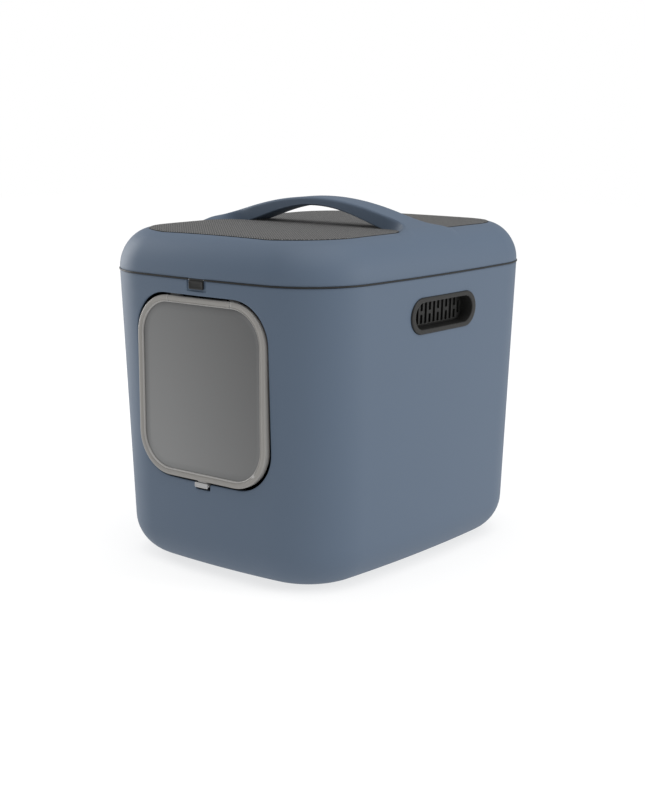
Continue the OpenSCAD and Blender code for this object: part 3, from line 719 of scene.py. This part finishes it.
def make_mat():
    """The mat in its bed, which follows the lid's surface."""
    room, edge_w = 0.75, 1.2
    net = Net()
    start = MAT_LINE + room
    inner = np.maximum(MAT_LINE + 4, BED_IN + 1)
    rows = [lid_row(net, inner, TOP_Z - 2.0)]
    for to, down in [(0.3, 2.6), (0.0, 2.3), (0.0, 0.5), (0.12, 0.2), (0.4, 0.05), (edge_w, 0.0)]:
        inset = start + to
        rows.append(lid_row(net, inset, lid_height(inset) - down + MAT_RISE))
    for share in (0.3, 0.65):
        inset = start + edge_w + (inner - start - edge_w) * share
        rows.append(lid_row(net, inset, lid_height(inset) + MAT_RISE))
    rows.append(lid_row(net, inner, TOP_Z + MAT_RISE))
    net.stack(rows)
    piece(net, "non_slip_mat", "lid", "mat_rubber", ["top_mat"])


def make_ring():
    """The dark ring between tub and lid, cut back behind the latch and round the hinges."""
    net = Net()
    plan = lid_plan(0)
    x, y = np.abs(plan[:, 0]), plan[:, 1]
    latch = (y < 0) & (x < latch_high[0] + 0.5)
    beside = HINGE_W / 2 + 0.7
    knuckles = (y > 0) & (x > HINGE_X - beside) & (x < HINGE_X + beside)
    least = np.where(latch, 4.0, np.where(knuckles, 1.6, -1.0))
    top, low = LID_Z - LID_OVER - SLIP, RING_Z + TUB_OVER + SLIP
    lip, foot = LID_Z + 2.2, low - 4.6
    skirt_in, skirt_out = WALL + 2.4, WALL + 0.6
    bead = [(-0.6, low), (-0.9, low + 0.15), (-1, low + 0.5)]
    bead += [(-1, top - 0.5), (-0.9, top - 0.15), (-0.6, top)]
    up = [(WALL + 0.2, top), (WALL + 0.2, lip), (WALL + 0.5, lip + 0.4), (skirt_in - 0.3, lip + 0.4)]
    down = [(skirt_in, lip), (skirt_in, foot), (skirt_in - 0.3, foot - 0.4), (skirt_out + 0.3, foot - 0.4)]
    profile = [(skirt_out, low)] + bead + up + down + [(skirt_out, foot)]
    rows = [lid_row(net, np.maximum(inset, least), z) for inset, z in profile]
    net.stack(rows, looped=True)
    piece(net, "seam_ring", "lid", "black_plastic", ["rim_ring"], crease=60)


# ---- flap ----
def frame_path(start):
    """Stations round the flap: (point, outward way, full depth), from +start over the right to -start."""
    cx, cz = FLAP_W / 2 - FLAP_R, FLAP_H / 2 - FLAP_R
    shoulder = COVER_HALF + 8.6      # past the brackets the ring has its full depth
    room = math.asin((shoulder - cx) / FLAP_R)
    path = [((start, FLAP_H / 2), (0, 1), 0), ((cx, FLAP_H / 2), (0, 1), 0)]
    turns = [(room, 0), (room, 1)] + [(f, 1) for f in np.radians(np.linspace(11, 90, 17))]
    for f, full in turns:
        way = (math.sin(f), math.cos(f))
        path.append(((cx + FLAP_R * way[0], cz + FLAP_R * way[1]), way, full))
    path += [((FLAP_W / 2, z), (1, 0), 1) for z in (30, -30)]
    for f in np.radians(np.linspace(90, 180, 19)):
        way = (math.sin(f), math.cos(f))
        path.append(((cx + FLAP_R * way[0], -cz + FLAP_R * way[1]), way, 1))
    path.append(((0, -FLAP_H / 2), (0, -1), 1))
    back = [((-p[0], p[1]), (-w[0], w[1]), full) for p, w, full in path[-2::-1]]
    return path + back


THIN = 1.4             # depth of the ring in front of the hinge's brackets
PANE_BACK = 2.65       # where the ring ends in front of the pane
# Cross-section of the ring, (in from its outer edge, back from its front): the rounded front
# with a groove near its inner edge, the rebate for the pane, and the rim behind.
FRAME_PROFILE = [(0, 9.2), (0, 1.6), (0.3, 0.9), (1.0, 0.35), (2.2, 0.08), (3.4, 0.0)]
FRAME_PROFILE += [(BAND - 2.6, 0.3), (BAND - 2.2, 0.75), (BAND - 1.9, 0.75), (BAND - 1.5, 0.3)]
FRAME_PROFILE += [(BAND - 1.1, 0.1), (BAND, 1.3), (BAND, PANE_BACK)]
FRAME_PROFILE += [(4, PANE_BACK), (4, 9.2), (3.7, 9.5), (0.3, 9.5)]


def sweep_frame(net, path):
    """Carries the ring's cross-section along a path."""
    rows = []
    for (px, pz), (wx, wz), full in path:
        row = []
        for inset, depth in FRAME_PROFILE:
            deep = depth if full else min(depth, THIN)
            row.append((px - wx * inset, FLAP_Y + deep, FLAP_Z + pz - wz * inset))
        rows.append(net.add(row))
    net.stack(rows)


def make_flap():
    """The flap: its ring, the bar over the hinge, and the pane with a slightly raised middle."""
    net = Net()
    seam = 0.5           # half the width of each seam beside the hinge bar
    sweep_frame(net, frame_path(COVER_HALF + seam))
    guide_top = FLAP_Z - FLAP_H / 2 + 1.5
    guide_half, guide_h = 7.5, 3.3
    block(net, -guide_half, guide_half, FLAP_Y + 2.4, FLAP_Y + 5.6, guide_top - guide_h, guide_top, 0.4)
    piece(net, "flap_ring", "flap", "greige_plastic", ["flap_frame"], crease=55)

    net = Net()
    bracket_in = 39.4    # between the brackets the bar has its full depth
    ends = [(COVER_HALF - seam, 0), (COVER_HALF - seam - 0.3, 0), (bracket_in, 0), (bracket_in, 1), (20, 1)]
    side = [((x, FLAP_H / 2), (0, 1), full) for x, full in ends]
    path = side + [((0, FLAP_H / 2), (0, 1), 1)] + [((-p[0], p[1]), w, f) for p, w, f in side[::-1]]
    sweep_frame(net, path)
    piece(net, "flap_hinge_bar", "flap", "greige_plastic", ["flap_hinge_cover"], crease=55)

    net = Net()
    pane_in, front, crown = 4.2, PANE_BACK + 0.07, 0.9
    skins = [(0.6, 5.2), (0.15, 5.05), (0, 4.6), (0, 3.0), (0.3, front), (4.6, front)]
    skins += [(4.8 + 8 * k / 10, front + crown * float(step(k / 10))) for k in range(1, 11)]
    slab(net, FLAP_W - 2 * pane_in, FLAP_H - 2 * pane_in, FLAP_R - pane_in, skins,
         lambda u, v, d: (u, FLAP_Y + d, FLAP_Z + v), turn=24)
    piece(net, "smoked_pane", "flap", "smoke_pane", ["flap_pane"], crease=50)


def make_lock():
    """The sliding tab below the flap, with its tongue and the upright slide behind the wall."""
    net = Net()
    front, back = lock_low[1], lock_high[1]
    low, high = lock_low[2], lock_high[2]
    top = FLAP_Z - FLAP_H / 2 - 2.1
    half = 7.0
    skins = [(0.3, 2), (0, 1.7), (0, 0.4), (0.12, 0.1), (0.4, 0), (0.9, 0), (1.2, 0.35), (1.6, 0.4)]
    slab(net, 2 * lock_high[0], top - low, 1.3, skins,
         lambda u, v, d: (u, front + d, (low + top) / 2 + v), turn=5)
    behind = 0.4 - float(front_wall(0.0, low - 5, WALL))
    block(net, -half, half, front + 0.8, back, top - 2.8, top, 0.3)
    block(net, -half, half, behind, back, low, top, 0.4)
    block(net, -half + 0.05, half - 0.05, back - 2, back - 0.05, low + 0.5, high, 0.4)
    block(net, -half + 0.1, half - 0.1, back - 6, back - 0.1, high - 2.5, high - 0.05, 0.4)
    piece(net, "lock_tab", "lock", "white_plastic", ["flap_lock"])


def make_latch():
    """The thumb latch over the seam: a plate with its barrel on the pin's axis."""
    net = Net()
    w = 2 * (latch_high[0] - LATCH_TRIM)
    y, z = latch_low[1], latch_low[2]
    h = HINGE_Z - 1 - z
    skins = [(0.3, 2.7), (0, 2.4), (0, 0.5), (0.15, 0.15), (0.5, 0), (1.6, 0), (2.6, 0.35), (4, 0.45)]
    slab(net, w, h, 1.6, skins, lambda u, v, d: (u, y + d, z + h / 2 + v), turn=6)
    axis_y, barrel_r, bevel = -BODY_D / 2 + 0.9, 1.25, 0.25
    end = w / 2
    barrel = [(barrel_r - bevel, -end), (barrel_r, -end + bevel), (barrel_r, end - bevel),
              (barrel_r - bevel, end)]
    lathe(net, barrel, lambda u, v, d: (d, axis_y + u, HINGE_Z + v), sides=20)
    block(net, -end + 0.5, end - 0.5, axis_y - 0.6, axis_y + 0.6, HINGE_Z - 1.8, HINGE_Z, 0.2)
    piece(net, "thumb_latch", "latch", "black_plastic", ["lid_latch"])


# ---- side grips ----
GRIP_LEAN = math.atan(LEAN_SIDE / TUB_H)


def grip_place(side):
    """Puts (along, up, out) of a grip on the wall, leaning with it."""
    wall_x = float(half_w(GRIP_Z))

    def place(u, v, out):
        x = wall_x + out * math.cos(GRIP_LEAN) + v * math.sin(GRIP_LEAN)
        return side * x, u, GRIP_Z - out * math.sin(GRIP_LEAN) + v * math.cos(GRIP_LEAN)
    return place


def grille(net, half, rise, depth, thick, place):
    """A flat plate with upright slots, every second one split by a bridge, with soft edges."""
    pitch, slot, count = 9.0, 4.6, 6      # slots: from one to the next, width, and number a side
    margin, bridge, bevel = 3, 2.4, 0.3
    curve = bpy.data.curves.new("grille_outline", "CURVE")
    curve.dimensions = "2D"
    curve.fill_mode = "BOTH"
    outlines = [[(u, v) for u, v in round_rect(2 * half, 2 * rise, rise, 10)]]
    reach = rise - margin
    for i in range(-count, count + 1):
        outer = abs(i * pitch) + slot / 2
        over = max(outer - (half - margin - reach), 0)
        high = math.sqrt(max(reach * reach - over * over, 1))
        spans = [(-high, high)] if i % 2 == 0 else [(bridge, high), (-high, -bridge)]
        for low, top in spans:
            line = round_rect(slot, top - low, 0.9, 3)
            outlines.append([(i * pitch + u, (low + top) / 2 + v) for u, v in line])
    for line in outlines:
        spline = curve.splines.new("POLY")
        spline.points.add(len(line) - 1)
        for point, (u, v) in zip(spline.points, line):
            point.co = (u, v, 0, 1)
        spline.use_cyclic_u = True
    curve.bevel_depth = bevel
    curve.bevel_resolution = 1
    curve.extrude = thick / 2 - bevel
    curve.offset = -bevel
    holder = bpy.data.objects.new("grille_outline", curve)
    bpy.context.scene.collection.objects.link(holder)
    bpy.context.view_layer.update()
    mesh = bpy.data.meshes.new_from_object(holder.evaluated_get(bpy.context.evaluated_depsgraph_get()))
    start = len(net.points)
    net.add([place(v.co.x, v.co.y, depth + v.co.z) for v in mesh.vertices])
    net.faces.extend(tuple(start + i for i in face.vertices) for face in mesh.polygons)
    bpy.data.objects.remove(holder)
    bpy.data.meshes.remove(mesh)
    bpy.data.curves.remove(curve)


def stadium(half, rise):
    """Outline of a bar with round ends."""
    return np.array(round_rect(2 * half, 2 * rise, rise - 0.01, 14))


def make_grip(side, name):
    """A grip cup: its rim on the wall, the pocket, and the slotted plate at the pocket's back."""
    net = Net()
    place = grip_place(side)
    outer, inner = stadium(GRIP_HALF, GRIP_RISE), stadium(GRIP_HALF - 8, GRIP_RISE - 6)
    tube = stadium(GRIP_HALF - 6, GRIP_RISE - 4)
    sunk, back = -1.3, -GRIP_DEPTH - 2.5
    rim = [(outer, sunk), (outer, 0.6)]
    rim += [(outer + (inner - outer) * share, out)
            for share, out in ((0.05, 0.98), (0.16, 1.2), (0.72, 1.2), (0.9, 1.0), (0.98, 0.6))]
    pocket = [(inner, 0.0), (inner, -GRIP_DEPTH + 1), (inner * 0.995, back), (tube, back), (tube, sunk)]
    rows = [net.add([place(u, v, out) for u, v in line]) for line, out in rim + pocket]
    net.stack(rows, looped=True)
    grille(net, GRIP_HALF - 8.2, GRIP_RISE - 6.2, -GRIP_DEPTH - 1.25, 2.4, place)
    piece(net, name + "_handle_cup", "tub", "black_plastic", [name + "_grip"], crease=50)


# ---- lid hinges and their screws ----
def leaf_plate(net, sign, low, high, bars):
    """A hinge leaf on the back wall with its knuckles on the pin's axis."""
    x = sign * HINGE_X
    face, thick, bevel = BODY_D / 2 + PAD_OUT, 2.2, 0.5
    skins = [(0.4, 0), (0, 0.3), (0, thick - 0.5), (0.2, thick - 0.2), (0.6, thick)]
    slab(net, HINGE_W, high - low, 2.4, skins,
         lambda u, v, d: (x + u, face + d, (low + high) / 2 + v), turn=5)
    toward = 1 if HINGE_Z > high else -1
    neck = sorted(((low + high) / 2 + toward * (high - low) / 2.4, HINGE_Z))
    for a, b in bars:
        x0, x1 = sorted((sign * (HINGE_X + a), sign * (HINGE_X + b)))
        knuckle = [(KNUCKLE_R - bevel, x0), (KNUCKLE_R, x0 + bevel), (KNUCKLE_R, x1 - bevel),
                   (KNUCKLE_R - bevel, x1)]
        lathe(net, knuckle, lambda u, v, d: (d, HINGE_Y + u, HINGE_Z + v), sides=36)
        block(net, x0 + 0.1, x1 - 0.1, face, face + thick, neck[0], neck[1], 0.3)


SCREW_R = 3.0
SCREW_H = 1.6
SOCKET = 1.15          # from the middle of a screw's socket to each of its six sides


def screw(net, x, y, z):
    """A round screw head with a six-sided socket, which faces backwards."""
    turn = whole_turn(24)
    rows = []
    for radius, along in [(2.9, 0), (SCREW_R, 0.35), (2.85, 0.9), (2.3, 1.4), (1.6, 1.58), (1.45, 1.58)]:
        rows.append(net.add([(x + radius * math.cos(f), y + along, z + radius * math.sin(f)) for f in turn]))
    for depth in (1.5, 0.6):
        line = []
        for f in turn:
            across = SOCKET / math.cos((f + math.pi / 6) % (math.pi / 3) - math.pi / 6)
            line.append((x + across * math.cos(f), y + depth, z + across * math.sin(f)))
        rows.append(net.add(line))
    net.stack(rows)


def make_hinges():
    """Two butt hinges: outer knuckles on the tub's leaves and a middle one on the lid's."""
    tub_net, lid_net = Net(), Net()
    end = HINGE_W / 2
    knuckle = HINGE_W / 4 - 0.5
    low, high = HINGE_Z - LEAF_GAP, HINGE_Z + LEAF_GAP
    for sign in (-1, 1):
        leaf_plate(tub_net, sign, low - LEAF_H, low, [(-end, -end + knuckle), (end - knuckle, end)])
        leaf_plate(lid_net, sign, high, high + LEAF_H, [(-end / 2, end / 2)])
    piece(tub_net, "hinge_leaves_tub", "tub", "black_plastic", ["tub_hinges"])
    piece(lid_net, "hinge_leaves_lid", "lid", "black_plastic", ["lid_hinges"])


def make_screws():
    """Two screws in each leaf and each bracket: (node, body, from one screw to the other)."""
    for node, body, apart in (("tub_hinge_screws", "tub", 24), ("lid_hinge_screws", "lid", 24),
                              ("bracket_screws", "tub", 10)):
        net = Net()
        high = corners(node)[1]
        for sign in (-1, 1):
            for x in (high[0] - SCREW_R, high[0] - SCREW_R - apart):
                screw(net, sign * x, high[1] - SCREW_H, high[2] - SCREW_R)
        piece(net, node.replace("screws", "screw_heads"), body, "screw_steel", [node])


# ---- materials ----
def sum_up(tree, operation, *values):
    """A math node; each value is a number or the socket it comes from."""
    node = tree.nodes.new("ShaderNodeMath")
    node.operation = operation
    for socket, value in zip(node.inputs, values):
        if isinstance(value, (int, float)):
            socket.default_value = value
        else:
            tree.links.new(value, socket)
    return node.outputs[0]


def new_group(name, takes_color, numbers, outputs):
    """A node group with its named sockets: its tree, its input node and its output node."""
    tree = bpy.data.node_groups.new(name, "ShaderNodeTree")
    sockets = tree.interface
    if takes_color:
        sockets.new_socket(name="Color", in_out="INPUT", socket_type="NodeSocketColor")
    for label, value in numbers:
        socket = sockets.new_socket(name=label, in_out="INPUT", socket_type="NodeSocketFloat")
        socket.default_value = value
    for label, kind in outputs:
        sockets.new_socket(name=label, in_out="OUTPUT", socket_type=kind)
    return tree, tree.nodes.new("NodeGroupInput"), tree.nodes.new("NodeGroupOutput")


def group_grain():
    """Node group: fine moulded grain, as a height. The grain's size is set per metre."""
    tree, enter, leave = new_group("moulded_grain", False, (("Grains per metre", 900.0), ("Depth", 1.0)),
                                   (("Height", "NodeSocketFloat"),))
    place = tree.nodes.new("ShaderNodeTexCoord")
    cells = tree.nodes.new("ShaderNodeTexVoronoi")
    cells.feature = "SMOOTH_F1"
    cells.inputs["Smoothness"].default_value = 0.6
    noise = tree.nodes.new("ShaderNodeTexNoise")
    noise.inputs["Detail"].default_value = 3
    for texture in (cells, noise):
        tree.links.new(place.outputs["Object"], texture.inputs["Vector"])
        tree.links.new(enter.outputs["Grains per metre"], texture.inputs["Scale"])
    height = sum_up(tree, "MULTIPLY_ADD", noise.outputs["Fac"], 0.6, cells.outputs["Distance"])
    tree.links.new(sum_up(tree, "MULTIPLY", height, enter.outputs["Depth"]), leave.inputs["Height"])
    return tree


def group_drift_and_edge_highlight():
    """Node group: slow drift of a moulding's colour and gloss over its surface, and a painted highlight that
    makes sharp edges paler.
    """
    tree, enter, leave = new_group(
        "tone_drift", True, (("Drift", 0.04), ("Edge", 0.1), ("Roughness", 0.5)),
        (("Color", "NodeSocketColor"), ("Roughness", "NodeSocketFloat")))
    place = tree.nodes.new("ShaderNodeTexCoord")
    noise = tree.nodes.new("ShaderNodeTexNoise")
    noise.inputs["Scale"].default_value = 9
    noise.inputs["Detail"].default_value = 4
    tree.links.new(place.outputs["Object"], noise.inputs["Vector"])
    centred = sum_up(tree, "SUBTRACT", noise.outputs["Fac"], 0.5)
    amount = sum_up(tree, "MULTIPLY_ADD", centred, enter.outputs["Drift"], 1.0)
    shade = tree.nodes.new("ShaderNodeVectorMath")
    shade.operation = "SCALE"
    tree.links.new(enter.outputs["Color"], shade.inputs[0])
    tree.links.new(amount, shade.inputs["Scale"])
    # Painted highlight: sharp edges, found by their pointiness, are mixed towards pale grey.
    bend = tree.nodes.new("ShaderNodeNewGeometry")
    ridge = tree.nodes.new("ShaderNodeMapRange")
    ridge.inputs["From Min"].default_value = 0.53
    ridge.inputs["From Max"].default_value = 0.62
    tree.links.new(bend.outputs["Pointiness"], ridge.inputs["Value"])
    edge_highlight = tree.nodes.new("ShaderNodeMix")
    edge_highlight.data_type = "RGBA"
    edge_highlight.inputs["B"].default_value = (0.7, 0.7, 0.7, 1)
    share = sum_up(tree, "MULTIPLY", ridge.outputs["Result"], enter.outputs["Edge"])
    tree.links.new(share, edge_highlight.inputs["Factor"])
    tree.links.new(shade.outputs[0], edge_highlight.inputs["A"])
    tree.links.new(edge_highlight.outputs["Result"], leave.inputs["Color"])
    gloss = sum_up(tree, "MULTIPLY_ADD", centred, enter.outputs["Drift"], enter.outputs["Roughness"])
    tree.links.new(gloss, leave.inputs["Roughness"])
    return tree


GRAIN = group_grain()
DRIFT_AND_HIGHLIGHT = group_drift_and_edge_highlight()


def plastic(name, color, roughness, grains=1100.0, depth=0.02, drift=0.05, edge=0.05, specular=0.5):
    """A moulded plastic: its colour drifts slightly, and a fine grain breaks up its gloss.
    The grain is grains to the metre and depth in millimetres; edge is how strong the painted highlight on
    sharp edges is."""
    mat = bpy.data.materials.new(name)
    mat.use_nodes = True
    tree = mat.node_tree
    shader = tree.nodes["Principled BSDF"]
    shader.inputs["Specular IOR Level"].default_value = specular
    tone = tree.nodes.new("ShaderNodeGroup")
    tone.node_tree = DRIFT_AND_HIGHLIGHT
    tone.inputs["Color"].default_value = (*color, 1)
    tone.inputs["Drift"].default_value = drift
    tone.inputs["Edge"].default_value = edge
    tone.inputs["Roughness"].default_value = roughness
    grain = tree.nodes.new("ShaderNodeGroup")
    grain.node_tree = GRAIN
    grain.inputs["Grains per metre"].default_value = grains
    bump = tree.nodes.new("ShaderNodeBump")
    bump.inputs["Strength"].default_value = 0.35
    bump.inputs["Distance"].default_value = depth * MM
    tree.links.new(tone.outputs["Color"], shader.inputs["Base Color"])
    tree.links.new(tone.outputs["Roughness"], shader.inputs["Roughness"])
    tree.links.new(grain.outputs["Height"], bump.inputs["Height"])
    tree.links.new(bump.outputs["Normal"], shader.inputs["Normal"])
    return mat


RIB_PITCH = 4.0
WAVE_UNIT = 314.16      # a wave texture at scale 1 repeats every 314.16 mm


def ribbed_mat(name):
    """Dark mat of fine crossed ribs: small raised squares with grooves between them. The grooves carry
    painted shade, and the steep side faces are painted near black as shade.
    """
    mat = plastic(name, (0.17, 0.165, 0.155), 0.8, grains=700.0, drift=0.08, edge=0.0, specular=0.25)
    tree = mat.node_tree
    shader = tree.nodes["Principled BSDF"]
    bump = tree.nodes["Bump"]
    place = tree.nodes.new("ShaderNodeTexCoord")
    waves = []
    for axis in ("X", "Y"):
        wave = tree.nodes.new("ShaderNodeTexWave")
        wave.bands_direction = axis
        wave.wave_profile = "SIN"
        wave.inputs["Scale"].default_value = WAVE_UNIT / RIB_PITCH
        tree.links.new(place.outputs["Object"], wave.inputs["Vector"])
        waves.append(wave)
    knob = tree.nodes.new("ShaderNodeMath")
    knob.operation = "MULTIPLY"
    tree.links.new(waves[0].outputs["Fac"], knob.inputs[0])
    tree.links.new(waves[1].outputs["Fac"], knob.inputs[1])
    tree.links.new(knob.outputs[0], bump.inputs["Height"])
    bump.inputs["Distance"].default_value = 0.5 * MM
    bump.inputs["Strength"].default_value = 0.8
    # Painted shade: the grooves between the raised squares are coloured near black.
    painted_groove_shade = tree.nodes.new("ShaderNodeMix")
    painted_groove_shade.data_type = "RGBA"
    painted_groove_shade.inputs["A"].default_value = (0.02, 0.02, 0.02, 1)
    painted_groove_shade.inputs["B"].default_value = (0.32, 0.318, 0.315, 1)
    tree.links.new(knob.outputs[0], painted_groove_shade.inputs["Factor"])
    # Painted shade: faces that turn away from upright, such as the mat's side walls, are coloured near
    # black.
    shape = tree.nodes.new("ShaderNodeNewGeometry")
    upright = tree.nodes.new("ShaderNodeSeparateXYZ")
    flat = tree.nodes.new("ShaderNodeMapRange")
    flat.inputs["From Min"].default_value = 0.3
    flat.inputs["From Max"].default_value = 0.85
    edge = tree.nodes.new("ShaderNodeMix")
    edge.data_type = "RGBA"
    edge.inputs["A"].default_value = (0.03, 0.03, 0.03, 1)
    tree.links.new(shape.outputs["Normal"], upright.inputs[0])
    tree.links.new(upright.outputs["Z"], flat.inputs["Value"])
    tree.links.new(flat.outputs["Result"], edge.inputs["Factor"])
    tree.links.new(painted_groove_shade.outputs["Result"], edge.inputs["B"])
    tree.links.new(edge.outputs["Result"], shader.inputs["Base Color"])
    return mat


def felt(name):
    """Black carbon felt of the filters."""
    return plastic(name, (0.006, 0.006, 0.006), 0.95, grains=1600.0, depth=0.3, drift=0.3, edge=0.0,
                   specular=0.1)


def brushed(name):
    """Steel of the screws and pins."""
    mat = plastic(name, (0.56, 0.56, 0.57), 0.34, grains=2500.0, depth=0.01, drift=0.1, edge=0.0)
    mat.node_tree.nodes["Principled BSDF"].inputs["Metallic"].default_value = 1.0
    return mat


def group_smoke_painted_light():
    """Node group: a pane's smoke tint with painted light: a painted reflection that darkens it to one side
    and to the top, and painted shade along its edges.
    """
    tree, enter, leave = new_group(
        "smoke_tint", True, (("Across", 0.7), ("Upward", 0.36), ("Edge", 0.45)),
        (("Color", "NodeSocketColor"),))
    place = tree.nodes.new("ShaderNodeTexCoord")
    split = tree.nodes.new("ShaderNodeSeparateXYZ")
    tree.links.new(place.outputs["Generated"], split.inputs[0])
    # Painted reflection: the pane's colour is made darker to the right and to the top.
    across = sum_up(tree, "MULTIPLY_ADD", split.outputs["X"], 2.0, -1.03)
    upward = sum_up(tree, "MULTIPLY_ADD", split.outputs["Z"], 2.0, -0.97)
    tone = sum_up(tree, "MULTIPLY", across, enter.outputs["Across"])
    tone = sum_up(tree, "MULTIPLY_ADD", upward, enter.outputs["Upward"], tone)
    tone = sum_up(tree, "MULTIPLY_ADD", tone, -0.5, 1.08)
    # Painted shade: a band along the pane's edges is darkened.
    far = sum_up(tree, "ADD", sum_up(tree, "POWER", sum_up(tree, "ABSOLUTE", across), 7.0),
                 sum_up(tree, "POWER", sum_up(tree, "ABSOLUTE", upward), 7.0))
    far = sum_up(tree, "POWER", far, 1 / 7)
    rim = tree.nodes.new("ShaderNodeMapRange")
    rim.interpolation_type = "SMOOTHSTEP"
    rim.inputs["From Min"].default_value = 0.89
    rim.inputs["From Max"].default_value = 1.0
    tree.links.new(far, rim.inputs["Value"])
    shade = sum_up(tree, "MULTIPLY", rim.outputs["Result"], enter.outputs["Edge"])
    tone = sum_up(tree, "MULTIPLY", tone, sum_up(tree, "SUBTRACT", 1.0, shade))
    tint_with_painted_light = tree.nodes.new("ShaderNodeVectorMath")
    tint_with_painted_light.operation = "SCALE"
    tree.links.new(enter.outputs["Color"], tint_with_painted_light.inputs[0])
    tree.links.new(tone, tint_with_painted_light.inputs["Scale"])
    tree.links.new(tint_with_painted_light.outputs[0], leave.inputs["Color"])
    return tree


def smoked_pane_with_painted_light(name):
    """Smoked plastic of the pane, glossier than the mouldings, with painted reflection and painted edge
    shade in its colour.
    """
    mat = plastic(name, (0.135, 0.138, 0.138), 0.3, grains=500.0, depth=0.004, drift=0.12, edge=0.0)
    tree = mat.node_tree
    painted_light_tint = tree.nodes.new("ShaderNodeGroup")
    painted_light_tint.node_tree = group_smoke_painted_light()
    painted_light_tint.inputs["Color"].default_value = (0.135, 0.137, 0.137, 1)
    tree.links.new(painted_light_tint.outputs["Color"], tree.nodes["Principled BSDF"].inputs["Base Color"])
    return mat


MAKERS = {
    "blue_plastic": lambda n: plastic(n, (0.088, 0.123, 0.175), 0.58, grains=1300.0, edge=0.02,
                                      specular=0.35),
    "black_plastic": lambda n: plastic(n, (0.0135, 0.0135, 0.0128), 0.5, edge=0.02, specular=0.3),
    # The flap ring's pale edges are a strong painted highlight.
    "greige_plastic": lambda n: plastic(n, (0.265, 0.255, 0.24), 0.42, edge=0.5, specular=0.45),
    "white_plastic": lambda n: plastic(n, (0.4, 0.4, 0.4), 0.4, edge=0.0),
    "foot_rubber": lambda n: plastic(n, (0.025, 0.025, 0.026), 0.8, grains=600.0, depth=0.05),
    "mat_rubber": ribbed_mat,
    "carbon_felt": felt,
    "screw_steel": brushed,
    "smoke_pane": smoked_pane_with_painted_light,
}
made_materials = {}


def material(slot):
    """The material of a slot, made once."""
    if slot not in made_materials:
        made_materials[slot] = MAKERS[slot](slot)
    return made_materials[slot]


def dress_cad():
    """Gives the CAD nodes that stay in view their slot's material."""
    for part in frame["record"]["subparts"]:
        node = frame["nodes"][part["node"]]
        node.data.materials.clear()
        node.data.materials.append(material(part["material_slot"]))


# ---- floor, light and camera ----
def make_stage():
    """A pale floor that glows a little, so that it ends in white."""
    net = Net()
    size = 6000.0
    loop = net.add([(-size, -size, 0), (size, -size, 0), (size, size, 0), (-size, size, 0)])
    net.faces.append(tuple(loop))
    mesh = bpy.data.meshes.new("floor")
    mesh.from_pydata((np.array(net.points) * MM).tolist(), [], net.faces)
    floor = bpy.data.objects.new("floor", mesh)
    bpy.context.scene.collection.objects.link(floor)
    mat = bpy.data.materials.new("floor_white")
    mat.use_nodes = True
    shader = mat.node_tree.nodes["Principled BSDF"]
    shader.inputs["Base Color"].default_value = (0.3, 0.3, 0.3, 1)
    shader.inputs["Roughness"].default_value = 0.9
    shader.inputs["Specular IOR Level"].default_value = 0.0
    shader.inputs["Emission Color"].default_value = (1, 1, 1, 1)
    shader.inputs["Emission Strength"].default_value = 0.715
    mesh.materials.append(mat)


def area_light(name, place, aim, size, power):
    """A rectangular lamp at a place, turned towards its aim; metres and watts."""
    light = bpy.data.lights.new(name, "AREA")
    light.shape = "RECTANGLE"
    light.size, light.size_y = size
    light.energy = power
    holder = bpy.data.objects.new(name, light)
    bpy.context.scene.collection.objects.link(holder)
    holder.location = place
    holder.rotation_euler = (Vector(aim) - Vector(place)).to_track_quat("-Z", "Y").to_euler()


def make_light():
    """Soft studio light: the room, a broad one overhead and one on each side."""
    middle = (0, 0, 0.25)
    world = bpy.data.worlds.new("studio")
    bpy.context.scene.world = world
    world.use_nodes = True
    tree = world.node_tree
    seen = tree.nodes.new("ShaderNodeLightPath")
    level = tree.nodes.new("ShaderNodeMapRange")
    level.inputs["To Min"].default_value = 0.44
    level.inputs["To Max"].default_value = 1.0
    tree.nodes["Background"].inputs["Color"].default_value = (1, 1, 1, 1)
    tree.links.new(seen.outputs["Is Camera Ray"], level.inputs["Value"])
    tree.links.new(level.outputs["Result"], tree.nodes["Background"].inputs["Strength"])
    sun = bpy.data.lights.new("overhead", "SUN")
    sun.energy = 1.85
    sun.angle = math.radians(70)
    holder = bpy.data.objects.new("overhead", sun)
    bpy.context.scene.collection.objects.link(holder)
    holder.rotation_euler = (math.radians(3), math.radians(12), 0)
    area_light("from_left", (-2.4, -0.15, 0.8), middle, (0.8, 1.6), 34)
    area_light("from_right", (3.2, 1.5, 1.2), middle, (1.5, 2.0), 50)
    bpy.context.scene.view_settings.view_transform = "Standard"


def make_camera():
    """The camera, by its angles round the box and its distance in metres."""
    azimuth, elevation, distance = math.radians(39.62), math.radians(11.59), 2.04807
    right = Vector((math.cos(azimuth), math.sin(azimuth), 0))
    back = Vector((math.sin(azimuth) * math.cos(elevation), -math.cos(azimuth) * math.cos(elevation),
                   math.sin(elevation)))
    target = right * -0.01319 + Vector((0, 0, 0.1873))
    camera = bpy.data.cameras.new("camera")
    camera.lens = 66.85
    camera.sensor_width = 36
    camera.shift_x = 0.01173
    camera.shift_y = 0.001
    holder = bpy.data.objects.new("camera", camera)
    bpy.context.scene.collection.objects.link(holder)
    turned = back.to_track_quat("Z", "Y").to_matrix().to_4x4()
    holder.matrix_world = Matrix.Translation(target + back * distance) @ turned
    bpy.context.scene.camera = holder


make_camera()
make_light()
make_stage()
dress_cad()
make_tub()
make_seats()
make_feet()
make_lid()
make_mat()
make_ring()
make_flap()
make_lock()
make_latch()
make_grip(1, "right")
make_grip(-1, "left")
make_hinges()
make_screws()
